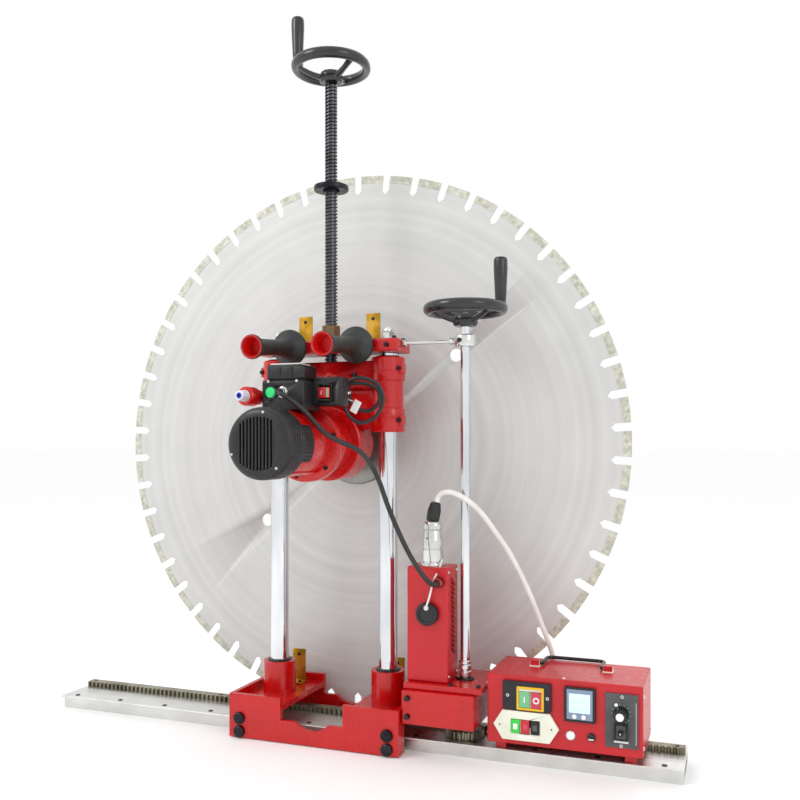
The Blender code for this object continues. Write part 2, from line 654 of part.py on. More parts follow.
def make_blade():
    """A steel disc with radial gullets between its segments."""
    ring = []
    half_slot = SLOT_WIDTH / 2
    rim = math.sqrt(BLADE_RADIUS ** 2 - half_slot ** 2)
    slot_end = BLADE_RADIUS - SLOT_DEPTH
    gullet = ((-half_slot, rim), (-half_slot, slot_end + half_slot), (0.0, slot_end),
              (half_slot, slot_end + half_slot), (half_slot, rim))
    for k in range(BLADE_SEGMENTS):
        middle = 2 * math.pi * (k + 0.5) / BLADE_SEGMENTS
        ring += [(along * math.cos(middle) - offset * math.sin(middle),
                  along * math.sin(middle) + offset * math.cos(middle))
                 for offset, along in gullet]
    bore = round_outline(SPINDLE_RADIUS + GAP, 36)
    matrix = Matrix.Translation((MACHINE_X, BLADE_Y, SPINDLE_Z)) @ Matrix.Rotation(math.pi / 2, 4, "X")
    outline("blade", [ring, bore], BLADE_THICKNESS, matrix, "steel")


def make_switches():
    box = block("switch_box", (SWITCH_X[0], SWITCH_Y[0], SWITCH_Z[0]),
                (SWITCH_X[1], SWITCH_Y[1], SWITCH_Z[1]), "black", bevel=0.003)
    add(box, block("side_switch", (SIDE_SWITCH_X[0], SIDE_SWITCH_Y[0], SIDE_SWITCH_Z[0]),
                   (SIDE_SWITCH_X[1], SIDE_SWITCH_Y[1], SIDE_SWITCH_Z[1])))
    add(box, bar("lead_gland", (GLAND[0], SWITCH_Y[0] - 0.012, GLAND[1]),
                 (GLAND[0], SWITCH_Y[0] + 0.004, GLAND[1]), 0.0065, sides=16))
    radius = 0.0085
    x, z = MOTOR_BUTTON
    cut(box, bar("button_pocket", (x, SWITCH_Y[0] - 0.005, z), (x, SWITCH_Y[0] + 0.008, z),
                 radius + RUN, sides=20))
    bar("motor_button", (x, SWITCH_Y[0] - 0.004, z),
        (x, SWITCH_Y[0] + 0.008 - BUTTON_TRAVEL - GAP, z), radius, "green", sides=20)
    x, z = ROCKER
    front = SIDE_SWITCH_Y[0]
    cut(box, block("rocker_pocket", (x - 0.0105, front - 0.005, z - 0.0105),
                   (x + 0.0105, front + 0.009, z + 0.0105)))
    block("mains_rocker", (x - 0.0098, front - 0.003, z - 0.0085),
          (x + 0.0098, front + 0.003, z + 0.0085), "red", origin=(x, front, z))


def make_water_port():
    """Cooling-water inlet beside the motor, its push fitting towards the operator."""
    x = -0.082
    z = 0.581
    profile = [(0.0, 0.060), (0.0070, 0.060), (0.0075, 0.050), (0.0095, 0.044), (0.0150, 0.040),
               (0.0155, 0.018), (0.0120, 0.010), (0.0120, 0.0), (0.0, 0.0)]
    port = turned("water_port", profile, (x, -0.165, z), (0, -1, 0), "red", steps=20)
    add(port, block("water_port_arm", (x - 0.010, -0.170, z - 0.009),
                    (SWITCH_X[0] - GAP, -0.150, z + 0.009)))
    cut(port, bar("water_bore", (x, -0.235, z), (x, -0.190, z), 0.0045, sides=16))


# ---- traverse drive -------------------------------------------------------------------------
def make_drive():
    housing = block("drive_housing", (DRIVE_X[0], DRIVE_Y[0], DRIVE_Z[0]),
                    (DRIVE_X[1], DRIVE_Y[1], DRIVE_Z[1]), "red", bevel=0.002)
    cut(housing, block("drive_inside", (DRIVE_X[0] + DRIVE_WALL, DRIVE_Y[0] + DRIVE_WALL, 0.0),
                       (DRIVE_X[1] - DRIVE_WALL, DRIVE_Y[1] - DRIVE_WALL, DRIVE_Z[1] - DRIVE_WALL)))
    cut(housing, bar("drive_rod_hole", (ROD_X, ROD_Y, 0.05), (ROD_X, ROD_Y, 0.15),
                     ROD_RADIUS + RUN, sides=20))
    plate = block("drive_plate", (DRIVE_X[0], DRIVE_Y[0] + 0.010, DRIVE_Z[1] + GAP),
                  (DRIVE_X[1] + 0.010, DRIVE_Y[1] - 0.010, DRIVE_TOP), "red", bevel=0.001)
    cut(plate, bar("plate_rod_hole", (ROD_X, ROD_Y, 0.05), (ROD_X, ROD_Y, 0.15),
                   ROD_RADIUS + RUN, sides=20))
    cut(plate, bar("plate_wire_hole", (sum(TALL_X) / 2, sum(TALL_Y) / 2, 0.05),
                   (sum(TALL_X) / 2, sum(TALL_Y) / 2, 0.15), 0.010, sides=16))


def make_traverse_shaft():
    pinion_low = RAIL_HEIGHT + 0.001
    pinion_high = pinion_low + RACK_HEIGHT + 0.003
    high = TRAVERSE_WHEEL_Z + WHEEL_RIM - 0.016
    hub_low = TRAVERSE_WHEEL_Z - 0.018 - GAP
    pin = ROD_RADIUS - 0.002
    profile = [(0.0, high), (pin, high), (pin, hub_low), (ROD_RADIUS, hub_low),
               (ROD_RADIUS, pinion_high + GAP), (0.0, pinion_high + GAP)]
    turned("traverse_rod", profile, (ROD_X, ROD_Y, 0), (0, 0, 1), "chrome", steps=24)
    ring = []
    tip = PINION_RADIUS + 0.7 * MODULE
    root = PINION_RADIUS - 1.2 * MODULE
    for k in range(PINION_TEETH):
        middle = math.pi / 2 + 2 * math.pi * k / PINION_TEETH
        for share, radius in ((-0.25, root), (-0.11, tip), (0.11, tip), (0.25, root)):
            angle = middle + share * 2 * math.pi / PINION_TEETH
            ring.append((radius * math.cos(angle), radius * math.sin(angle)))
    outline("pinion", [ring], pinion_high - pinion_low,
            Matrix.Translation((ROD_X, ROD_Y, (pinion_low + pinion_high) / 2)), "steel")
    handwheel("traverse_handwheel", ROD_X, ROD_Y, TRAVERSE_WHEEL_Z, pin + GAP)
    crank_grip("traverse_crank_grip", ROD_X + GRIP_CIRCLE * math.cos(TRAVERSE_GRIP_ANGLE),
               ROD_Y + GRIP_CIRCLE * math.sin(TRAVERSE_GRIP_ANGLE), TRAVERSE_WHEEL_Z)


def make_stay():
    """The rod's steady: a split collar and the thin stay that holds it to the head plate."""
    inner = ROD_RADIUS + RUN
    low = CLAMP_Z - 0.010
    high = CLAMP_Z + 0.010
    turned("rod_clamp", [(inner, high), (0.0165, high), (0.018, high - 0.003), (0.018, low + 0.003),
                         (0.0165, low), (inner, low)],
           (ROD_X, ROD_Y, 0), (0, 0, 1), "chrome", steps=24, ring=True)
    head_right = MACHINE_X + HEAD_HALF
    bar("stay_rod", (head_right + GAP, ROD_Y, CLAMP_Z), (ROD_X - 0.018 - GAP, ROD_Y, CLAMP_Z),
        0.003, "chrome", sides=12)


# ---- connector box --------------------------------------------------------------------------
def make_connector_box():
    low = DRIVE_TOP + GAP
    shell = block("connector_box", (TALL_X[0], TALL_Y[0], low), (TALL_X[1], TALL_Y[1], TALL_TOP),
                  "red", bevel=0.0015)
    cut(shell, block("connector_box_inside",
                     (TALL_X[0] + TALL_WALL, TALL_Y[0] + TALL_WALL, low - 0.01),
                     (TALL_X[1] - TALL_WALL, TALL_Y[1] - TALL_WALL, TALL_TOP - TALL_WALL)))
    x, z = SOCKET
    front = TALL_Y[0]
    turned("socket_cap", [(0.0, 0.012), (0.016, 0.012), (0.0185, 0.009), (0.0185, 0.0), (0.0, 0.0)],
           (x, front - GAP, z), (0, -1, 0), "black", steps=24)
    x, z = FRONT_GLAND
    add(shell, turned("front_gland", [(0.0, 0.014), (0.0055, 0.014), (0.0085, 0.008),
                                      (0.0085, -TALL_WALL / 2), (0.0, -TALL_WALL / 2)],
                      (x, front, z), (0, -1, 0), steps=16))
    x = sum(TALL_X) / 2
    y = sum(TALL_Y) / 2
    base = TALL_TOP + GAP
    turned("plug_shell", [(0.0, base + 0.072), (0.0150, base + 0.072), (0.0165, base + 0.066),
                          (0.0165, base + 0.060), (0.0150, base + 0.058), (0.0175, base + 0.022),
                          (0.0175, base + 0.004), (0.0200, base + 0.003), (0.0200, base), (0.0, base)],
           (x, y, 0), (0, 0, 1), "chrome", steps=20)
    lean = Vector((0.22, -0.07, 1.0)).normalized()
    turned("plug_boot", [(0.0, 0.030), (0.0095, 0.030), (0.0110, 0.026), (0.0110, 0.004),
                         (0.0100, 0.0), (0.0, 0.0)],
           (x, y, base + 0.0748), lean, "black", steps=20)


# ---- control box ----------------------------------------------------------------------------


def press_button(name, x, z, width, height, front, finish, plate):
    """A button in a pocket of its plate, free to travel inwards."""
    proud = 0.002
    depth = PANEL_THICKNESS - 0.001
    cut(plate, block(name + "_pocket", (x - width / 2 - RUN, front - 0.005, z - height / 2 - RUN),
                     (x + width / 2 + RUN, front + depth, z + height / 2 + RUN)))
    block(name, (x - width / 2, front - proud, z - height / 2),
          (x + width / 2, front + depth - BUTTON_TRAVEL + proud - 0.002 - GAP, z + height / 2),
          finish)


def make_control_box():
    case = block("control_case", (CASE_X[0], CASE_Y[0], CASE_Z[0]), (CASE_X[1], CASE_Y[1], CASE_Z[1]),
                 "red", bevel=0.0015)
    cut(case, block("case_inside", (CASE_X[0] + CASE_WALL, CASE_Y[0] + CASE_WALL, CASE_Z[0] + CASE_WALL),
                    (CASE_X[1] - CASE_WALL, CASE_Y[1] + 0.01, CASE_Z[1] - CASE_WALL)))
    for x, name in ((CASE_X[0] + 0.020, "left"), (CASE_X[1] - 0.020, "right")):
        add(case, block("foot_" + name, (x - 0.008, CASE_Y[0] + 0.010, RAIL_HEIGHT + GAP),
                        (x + 0.008, RACK_FRONT_Y - 0.004, CASE_Z[0] + 0.001)))
    for x, name in zip(BAIL_X, ("left", "right")):
        side = -1 if name == "left" else 1
        lug_x = sorted((x + side * 0.0040, x + side * 0.0180))
        add(case, block("lug_" + name, (lug_x[0], BAIL_Y - 0.006, CASE_Z[1] - 0.001),
                        (lug_x[1], BAIL_Y + 0.006, CASE_Z[1] + BAIL_LIFT + 0.005)))
        cut(case, bar("lug_bore_" + name, (x - 0.013, BAIL_Y, CASE_Z[1] + BAIL_LIFT),
                      (x + 0.013, BAIL_Y, CASE_Z[1] + BAIL_LIFT), BAIL_RADIUS + RUN, sides=16))
    cover = block("case_back",
                  (CASE_X[0] + CASE_WALL + GAP, CASE_Y[1] - CASE_WALL, CASE_Z[0] + CASE_WALL + GAP),
                  (CASE_X[1] - CASE_WALL - GAP, CASE_Y[1], CASE_Z[1] - CASE_WALL - GAP), "red")
    add(cover, block("cord_elbow", (CORD_ELBOW_X[0], CASE_Y[1] - CASE_WALL / 2, CORD_ELBOW_Z[0]),
                     (CORD_ELBOW_X[1], CASE_Y[1] + CORD_ELBOW_DEPTH, CORD_ELBOW_Z[1])))
    front = FACE_Y - GAP - PANEL_THICKNESS
    back = FACE_Y - GAP
    power = block("power_plate", (POWER_X[0], front, POWER_Z[0]), (POWER_X[1], back, POWER_Z[1]),
                  "black", bevel=0.001)
    for name, x, finish in (("start_button", START_X, "green"), ("stop_button", STOP_X, "red")):
        press_button(name, x, POWER_BUTTON_Z, *POWER_BUTTON, front, finish, power)
    middle_z = sum(PLATE_Z) / 2
    nose = PLATE_NOSE
    ring = [(PLATE_X[0], middle_z), (PLATE_X[0] + nose, PLATE_Z[0]), (PLATE_X[1] - nose, PLATE_Z[0]),
            (PLATE_X[1], middle_z), (PLATE_X[1] - nose, PLATE_Z[1]), (PLATE_X[0] + nose, PLATE_Z[1])]
    upright = Matrix.Translation((0, (front + back) / 2, 0)) @ Matrix.Rotation(math.pi / 2, 4, "X")
    plate = prism("jog_plate", ring, PANEL_THICKNESS, upright, "white")
    names = (("forward_button", "green"), ("halt_button", "red"), ("reverse_button", "black"))
    for (name, finish), x in zip(names, JOG_X):
        press_button(name, x, JOG_Z, *JOG_BUTTON, front, finish, plate)
    block("speed_meter", (METER_X[0], front, METER_Z[0]), (METER_X[1], back, METER_Z[1]), "black",
          bevel=0.001)
    knob_front = FACE_Y - GAP - 0.003
    knob_plate = block("knob_plate", (KNOB_PLATE_X[0], knob_front, KNOB_PLATE_Z[0]),
                       (KNOB_PLATE_X[1], back, KNOB_PLATE_Z[1]), "grey")
    x, z = KNOB
    turned("speed_knob", [(0.0, 0.015), (0.0095, 0.015), (0.0105, 0.013), (0.0115, 0.0), (0.0, 0.0)],
           (x, knob_front - GAP, z), (0, -1, 0), "black", steps=24)
    x, z = TOGGLE
    frame = block("toggle_frame", (x - 0.0105, knob_front - 0.004, z - 0.013),
                  (x + 0.0105, knob_front + 0.001, z + 0.013))
    add(knob_plate, frame)
    lever_front = knob_front - 0.004 - GAP
    block("toggle_lever", (x - 0.004, lever_front - 0.010, z - 0.0035),
          (x + 0.004, lever_front - 0.0012, z + 0.0035), "black", origin=(x, lever_front, z))


def make_bail():
    """The box's drop handle, lying back on the lid; its ends turn in the lugs."""
    z = CASE_Z[1] + BAIL_LIFT
    left, right = BAIL_X
    back = BAIL_Y + BAIL_DEPTH
    end = 0.011
    curve = bpy.data.curves.new("box_handle", "CURVE")
    curve.dimensions = "3D"
    curve.bevel_depth = BAIL_RADIUS
    curve.bevel_resolution = 2
    curve.use_fill_caps = True
    round_corner = 0.006
    route = [(left - end, BAIL_Y), (left - 0.001, BAIL_Y), (left, BAIL_Y + 0.004),
             (left, back - round_corner), (left + round_corner * 0.3, back - round_corner * 0.3),
             (left + round_corner, back), (right - round_corner, back),
             (right - round_corner * 0.3, back - round_corner * 0.3), (right, back - round_corner),
             (right, BAIL_Y + 0.004), (right + 0.001, BAIL_Y), (right + end, BAIL_Y)]
    spline = curve.splines.new("POLY")
    spline.points.add(len(route) - 1)
    for point, (x, y) in zip(spline.points, route):
        point.co = (x, y - BAIL_Y, 0.0, 1.0)
    handle = bpy.data.objects.new("box_handle", curve)
    handle.location = (0, BAIL_Y, z)
    place(handle, "black")


# ---- guard brackets -------------------------------------------------------------------------
def bracket(name, x, y, z, height, foot):
    """An angle bracket for the blade guard: an upright and a foot."""
    half = 0.013
    thick = 0.003
    upright = block(name, (x - half, y, z + GAP), (x + half, y + thick, z + height), "zinc")
    add(upright, block(name + "_foot", (x - half, y - foot, z + GAP),
                       (x + half, y + thick * 0.5, z + GAP + thick)))


def make_brackets():
    for side, end in ((-1, "left"), (1, "right")):
        bracket("lower_guard_bracket_" + end, MACHINE_X + side * 0.098, 0.055, DECK_TOP, 0.062, 0.018)
        bracket("upper_guard_bracket_" + end, MACHINE_X + side * 0.066, HEAD_BACK_Y - 0.004,
                HEAD_TOP, 0.052, 0.016)


# ---- cords ----------------------------------------------------------------------------------
MOTOR_LEAD = [(-25, -197.9, 587), (-25, -204, 587), (-23, -210, 586), (-13, -214, 582),
              (2, -209, 572), (17, -195, 556),
              (29, -180, 537), (40, -165, 521), (58, -152, 509), (80, -138, 497), (97, -126, 476),
              (110, -117, 445), (120, -110, 411), (134, -103, 372), (152, -98, 333), (170, -97, 305),
              (184, -93, 287), (191, -86, 281), (191, -74.7, 281)]
CONTROL_LEAD = [(179.6, -34.2, 410.8), (182, -36, 418), (190, -39, 425), (203, -42, 427),
                (220, -42, 422), (238, -34, 409), (254, -20, 389), (270, -2, 360), (288, 19, 325),
                (305, 37, 284),
                (321, 51, 240), (334, 61, 200), (343, 68, 174), (349, 74, 152), (352, 77, 134),
                (352, 77, 120.4)]
SWITCH_LEAD = [(30, -124.9, 596), (30, -119, 596), (33, -111, 598), (46, -100, 603), (72, -92, 605),
               (95, -88, 594), (96, -84, 574), (76, -82, 560), (56, -88, 566), (44, -96, 584),
               (50, -104, 604), (72, -106, 613), (101, -102, 602), (109, -98, 576), (97, -98, 551),
               (72, -102, 540), (54, -106, 550), (48, -112, 566), (48, -119, 576),
               (48, -124.9, 577)]


def make_cords():
    cord("motor_lead", MOTOR_LEAD, 0.004, "rubber", 34)
    cord("control_lead", CONTROL_LEAD, 0.0045, "white", 30)
    cord("switch_lead", SWITCH_LEAD, 0.0032, "rubber", 46)


make_rail()
make_rack()
make_saddle()
make_rollers()
make_columns()
make_head()
make_carry_handles()
make_feed_screw()
make_carriage()
make_motor()
make_blade()
make_switches()
make_water_port()
make_drive()
make_traverse_shaft()
make_stay()
make_connector_box()
make_control_box()
make_bail()
make_brackets()
make_cords()
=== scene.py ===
"""Looks of the rail-mounted wall saw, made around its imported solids."""
import json
import math

import bmesh
import bpy
from mathutils import Matrix, Vector


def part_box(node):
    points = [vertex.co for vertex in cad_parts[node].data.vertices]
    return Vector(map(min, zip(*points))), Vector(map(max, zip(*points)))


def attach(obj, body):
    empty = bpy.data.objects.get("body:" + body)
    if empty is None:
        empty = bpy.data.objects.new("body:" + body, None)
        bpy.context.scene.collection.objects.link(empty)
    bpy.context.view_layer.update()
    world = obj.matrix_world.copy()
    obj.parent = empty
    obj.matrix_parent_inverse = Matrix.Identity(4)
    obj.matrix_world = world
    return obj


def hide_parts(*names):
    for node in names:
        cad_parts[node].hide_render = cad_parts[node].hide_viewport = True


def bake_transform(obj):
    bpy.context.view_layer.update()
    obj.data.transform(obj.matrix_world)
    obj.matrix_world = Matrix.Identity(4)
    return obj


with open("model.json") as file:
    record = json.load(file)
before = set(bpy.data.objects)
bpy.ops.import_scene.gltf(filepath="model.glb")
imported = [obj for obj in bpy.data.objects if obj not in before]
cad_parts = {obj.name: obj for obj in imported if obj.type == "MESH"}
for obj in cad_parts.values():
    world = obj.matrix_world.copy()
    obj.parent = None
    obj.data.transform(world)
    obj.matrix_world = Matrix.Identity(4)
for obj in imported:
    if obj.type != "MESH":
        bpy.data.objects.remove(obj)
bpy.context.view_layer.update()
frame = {"nodes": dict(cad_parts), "record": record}

MM = 0.001
FRONT = (0, -1, 0)
BACK = (0, 1, 0)
UP = (0, 0, 1)
RIGHT = (1, 0, 0)
BODY_OF = {node: body for body, nodes in frame["record"]["behaviour"]["bodies"].items() for node in nodes}
SLOT_OF = {row["node"]: row["material_slot"] for row in frame["record"]["subparts"]}

# ---- camera and stage -----------------------------------------------------------------------
CAMERA_PLACE = (0.640, -1.441, 0.504)
CAMERA_YAW = math.radians(20.5)
CAMERA_LENS = 40.3
CAMERA_RISE = 0.05625       # the lens is shifted up, so that upright lines stay parallel


def make_camera():
    """The view: a level camera with its lens shifted up."""
    data = bpy.data.cameras.new("camera")
    data.lens = CAMERA_LENS
    data.sensor_width = 36.0
    data.shift_y = CAMERA_RISE
    camera = bpy.data.objects.new("camera", data)
    camera.location = CAMERA_PLACE
    camera.rotation_euler = (math.pi / 2, 0, CAMERA_YAW)
    bpy.context.scene.collection.objects.link(camera)
    bpy.context.scene.camera = camera


def linear(code):
    """An sRGB hex colour as linear numbers."""
    parts = [int(code[i:i + 2], 16) / 255 for i in (1, 3, 5)]
    return [v / 12.92 if v <= 0.04045 else ((v + 0.055) / 1.055) ** 2.4 for v in parts] + [1.0]


def add(tree, kind, inputs=None, **settings):
    """Add a node with its settings; an input is a value or a socket to link from."""
    made = tree.nodes.new(kind)
    for name, value in settings.items():
        setattr(made, name, value)
    for key, value in (inputs or {}).items():
        if isinstance(value, bpy.types.NodeSocket):
            tree.links.new(value, made.inputs[key])
        else:
            made.inputs[key].default_value = value
    return made


FLOOR_HALF = 80.0


def make_stage():
    """Pale floor, even sky and three soft lamps."""
    mesh = bpy.data.meshes.new("floor")
    corners = ((-1, -1), (1, -1), (1, 1), (-1, 1))
    mesh.from_pydata([(x * FLOOR_HALF, y * FLOOR_HALF, 0) for x, y in corners], [], [(0, 1, 2, 3)])
    floor = bpy.data.objects.new("floor", mesh)
    bpy.context.scene.collection.objects.link(floor)
    floor.data.materials.append(plain("studio floor paint", "#fdfdfd", roughness=1.0))
    world = bpy.data.worlds.new("studio")
    world.use_nodes = True
    world.node_tree.nodes["Background"].inputs["Color"].default_value = (1, 1, 1, 1)
    world.node_tree.nodes["Background"].inputs["Strength"].default_value = 1.0
    bpy.context.scene.world = world
    for name, place, size, power in (("key", (-1.9, -2.0, 2.6), 1.3, 30), ("fill", (2.6, -1.6, 1.7), 1.2, 10),
                                     ("rim", (0.3, 2.2, 2.2), 1.6, 12)):
        data = bpy.data.lights.new(name, "AREA")
        data.size = size
        data.energy = power
        light = bpy.data.objects.new(name, data)
        light.location = place
        aim = Vector((0, 0, 0.45)) - Vector(place)
        light.rotation_euler = aim.to_track_quat("-Z", "Y").to_euler()
        bpy.context.scene.collection.objects.link(light)
    bpy.context.scene.view_settings.view_transform = "Standard"


# ---- materials ------------------------------------------------------------------------------
def plain(name, colour, metallic=0.0, roughness=0.4, coat=0.0):
    """A Principled material whose colour, gloss and relief are then worked by its own function."""
    material = bpy.data.materials.new(name)
    material.use_nodes = True
    shader = material.node_tree.nodes["Principled BSDF"]
    shader.inputs["Base Color"].default_value = linear(colour)
    shader.inputs["Metallic"].default_value = metallic
    shader.inputs["Roughness"].default_value = roughness
    shader.inputs["Coat Weight"].default_value = coat
    shader.inputs["Coat Roughness"].default_value = 0.06
    return material


def texture_space(material, scale=(1, 1, 1), centre=(0, 0, 0)):
    """The tree, the shader and Object coordinates, centred and stretched."""
    tree = material.node_tree
    where = add(tree, "ShaderNodeTexCoord")
    moved = add(tree, "ShaderNodeMapping", {"Vector": where.outputs["Object"],
                                            "Location": [-c * s for c, s in zip(centre, scale)],
                                            "Scale": scale})
    return tree, tree.nodes["Principled BSDF"], moved.outputs["Vector"]


def vary(tree, shader, factor, socket, low, high):
    """Drive one shader socket between two values or colours by a 0 to 1 factor."""
    if isinstance(low, str):
        ramp = add(tree, "ShaderNodeValToRGB", {"Fac": factor})
        ramp.color_ramp.elements[0].position = 0.3
        ramp.color_ramp.elements[0].color = linear(low)
        ramp.color_ramp.elements[1].position = 0.7
        ramp.color_ramp.elements[1].color = linear(high)
        tree.links.new(ramp.outputs["Color"], shader.inputs[socket])
        return
    spread = add(tree, "ShaderNodeMapRange", {"Value": factor, "From Min": 0.3, "From Max": 0.7,
                                              "To Min": low, "To Max": high})
    tree.links.new(spread.outputs["Result"], shader.inputs[socket])


def relief(tree, shader, height, distance, strength=1.0):
    """Surface relief of a real height in metres."""
    bump = add(tree, "ShaderNodeBump", {"Height": height, "Distance": distance, "Strength": strength})
    tree.links.new(bump.outputs["Normal"], shader.inputs["Normal"])


def speckle(tree, space, scale, detail=3.0):
    """Three-dimensional noise, from 0 to 1."""
    return add(tree, "ShaderNodeTexNoise", {"Vector": space, "Scale": scale, "Detail": detail}).outputs["Fac"]


def gloss_enamel(name, light, dark):
    """Brushed-on gloss enamel over iron: orange peel about 2 mm across, darker where it is thin."""
    material = plain(name, light, roughness=0.30, coat=0.25)
    tree, shader, space = texture_space(material)
    vary(tree, shader, speckle(tree, space, 22), "Base Color", dark, light)
    vary(tree, shader, speckle(tree, space, 60), "Roughness", 0.20, 0.36)
    relief(tree, shader, speckle(tree, space, 480, 1.0), 0.00010, 0.6)
    return material


def powder_coat(name, light, dark):
    """Polyester powder coat on sheet steel: an even, fine pebbled satin."""
    material = plain(name, light, roughness=0.38, coat=0.15)
    tree, shader, space = texture_space(material)
    vary(tree, shader, speckle(tree, space, 14), "Base Color", dark, light)
    vary(tree, shader, speckle(tree, space, 90), "Roughness", 0.32, 0.46)
    relief(tree, shader, speckle(tree, space, 900, 2.0), 0.00008, 0.5)
    return material


def hard_chrome(name, stretch=(30, 30, 900)):
    """Hard chrome, ground round its axis: a bright mirror with fine rings, and painted reflections as soft
    streaks along the bar in its colour.
    """
    material = plain(name, "#e2e3e6", 1.0, 0.08)
    tree, shader, space = texture_space(material, stretch)
    vary(tree, shader, speckle(tree, space, 1.0), "Roughness", 0.05, 0.14)
    # painted reflection: the base colour runs in soft pale and dark streaks drawn out along the bar, standing
    # in for the surroundings mirrored in the chrome
    tree, shader, painted_reflection_streaks = texture_space(material, (18, 18, 6))
    vary(tree, shader, speckle(tree, painted_reflection_streaks, 1.0), "Base Color", "#c9ccd1", "#eceef0")
    return material


def drawn_steel(name, light, dark, stretch, smooth=0.24, rough=0.46):
    """Machined bare steel or alloy: fine lines along the cut, and dull patches from handling."""
    material = plain(name, light, 0.92, 0.35)
    tree, shader, lines = texture_space(material, stretch)
    fine = speckle(tree, lines, 1.0, 4.0)
    vary(tree, shader, fine, "Roughness", smooth, rough)
    relief(tree, shader, fine, 0.00006, 0.5)
    patches = add(tree, "ShaderNodeTexNoise", {"Vector": add(tree, "ShaderNodeTexCoord").outputs["Object"],
                                               "Scale": 26.0, "Detail": 5.0})
    vary(tree, shader, patches.outputs["Fac"], "Base Color", dark, light)
    return material


def ground_disc(name, centre):
    """Ground saw plate: rings of grinding round the bore, drawn 1.5 mm apart so that they show."""
    material = plain(name, "#cfcfcd", 0.25, 0.52)
    tree, shader, space = texture_space(material, centre=centre)
    flat = add(tree, "ShaderNodeVectorMath", {0: space, 1: (1, 0, 1)}, operation="MULTIPLY")
    radius = add(tree, "ShaderNodeVectorMath", {0: flat.outputs["Vector"]}, operation="LENGTH")
    rings = add(tree, "ShaderNodeTexNoise", {"W": radius.outputs["Value"], "Scale": 650.0, "Detail": 2.0},
                noise_dimensions="1D")
    wide = add(tree, "ShaderNodeTexNoise", {"W": radius.outputs["Value"], "Scale": 60.0, "Detail": 3.0},
               noise_dimensions="1D")
    vary(tree, shader, rings.outputs["Fac"], "Roughness", 0.48, 0.58)
    cloud = speckle(tree, space, 9.0, 6.0)
    blend = add(tree, "ShaderNodeMath", {0: wide.outputs["Fac"], 1: cloud}, operation="ADD")
    half = add(tree, "ShaderNodeMath", {0: blend.outputs["Value"], 1: 0.5}, operation="MULTIPLY")
    vary(tree, shader, half.outputs["Value"], "Base Color", "#c6c6c4", "#d4d4d2")
    relief(tree, shader, rings.outputs["Fac"], 0.00002, 0.4)
    return material


def diamond_segment(name):
    """Sintered cobalt and diamond: dull grey-buff metal full of grit, drawn 1 mm across."""
    material = plain(name, "#c4c4b6", 0.35, 0.62)
    tree, shader, space = texture_space(material)
    grit = add(tree, "ShaderNodeTexVoronoi", {"Vector": space, "Scale": 900.0})
    vary(tree, shader, speckle(tree, space, 130, 5.0), "Base Color", "#aeae9f", "#dadacd")
    relief(tree, shader, grit.outputs["Distance"], 0.0003, 0.6)
    return material


def moulded(name, light, dark, roughness=0.42, grain=700, depth=0.00008, coat=0.0):
    """Moulded plastic or rubber: spark-eroded grain, and slight greying where it is handled."""
    material = plain(name, light, roughness=roughness, coat=coat)
    tree, shader, space = texture_space(material)
    vary(tree, shader, speckle(tree, space, 35), "Base Color", dark, light)
    vary(tree, shader, speckle(tree, space, 120), "Roughness", roughness - 0.07, roughness + 0.08)
    relief(tree, shader, speckle(tree, space, grain, 2.0), depth, 0.5)
    return material


def zinc_plate(name):
    """Yellow-passivated zinc: gold with green and rose drifts."""
    material = plain(name, "#c39a35", 0.9, 0.34)
    tree, shader, space = texture_space(material)
    ramp = add(tree, "ShaderNodeValToRGB", {"Fac": speckle(tree, space, 30, 3.0)})
    ramp.color_ramp.elements[0].position = 0.35
    ramp.color_ramp.elements[0].color = linear("#8f7a20")
    ramp.color_ramp.elements[1].position = 0.65
    ramp.color_ramp.elements[1].color = linear("#d8ab4a")
    ramp.color_ramp.elements.new(0.5).color = linear("#b98a25")
    tree.links.new(ramp.outputs["Color"], shader.inputs["Base Color"])
    vary(tree, shader, speckle(tree, space, 200), "Roughness", 0.28, 0.45)
    return material


def cord_sheath(name, light, dark):
    """Extruded cable sheath: satin, with faint rings round it from the die."""
    return moulded(name, light, dark, 0.40, 500, 0.00005)


def glow_panel(name, colour, strength):
    """A backlit window behind clear plastic."""
    material = plain(name, colour, roughness=0.12, coat=0.6)
    shader = material.node_tree.nodes["Principled BSDF"]
    shader.inputs["Emission Color"].default_value = linear(colour)
    shader.inputs["Emission Strength"].default_value = strength
    return material


spindle_low, spindle_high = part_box("blade")
DISC_CENTRE = (spindle_low + spindle_high) / 2
DISC_RADIUS = (spindle_high.z - spindle_low.z) / 2

RED = gloss_enamel("red gloss enamel on cast iron", "#c50509", "#b80407")
MOTOR_RED = gloss_enamel("red gloss enamel on aluminium", "#cb0707", "#bf0506")
BOX_RED = powder_coat("red powder-coated sheet steel", "#c60d1b", "#bb0a17")
CHROME = hard_chrome("hard chrome on steel bar")
NICKEL = drawn_steel("polished nickel plate", "#e4e4e2", "#c8c8c6", (60, 60, 60), 0.10, 0.22)
RAIL_STEEL = drawn_steel("milled bare alloy", "#e4e4e1", "#d3d3cf", (3, 160, 160))
RACK_STEEL = drawn_steel("hobbed steel", "#a39f90", "#77735f", (90, 90, 90), 0.35, 0.55)
FLANGE_STEEL = drawn_steel("turned grey steel", "#9a9b95", "#7c7d77", (200, 30, 200), 0.3, 0.5)
DISC_STEEL = ground_disc("ground steel disc", DISC_CENTRE)
SEGMENT = diamond_segment("sintered diamond segment")
OXIDE = drawn_steel("black-oxided steel", "#3c3c40", "#242428", (60, 60, 60), 0.22, 0.40)
THREAD_STEEL = drawn_steel("oiled dark thread steel", "#6a6a6e", "#3a3a3e", (40, 40, 40), 0.16, 0.30)
BRONZE = drawn_steel("dull cast bronze", "#8b7358", "#5f4c38", (60, 60, 60), 0.35, 0.55)
ZINC = zinc_plate("yellow-passivated zinc plate")
PHENOLIC = moulded("black phenolic", "#232326", "#17171a", 0.26, 500, 0.00006, 0.3)
RUBBER = moulded("dark green-black rubber", "#2c322f", "#1c211f", 0.46, 600, 0.0001)
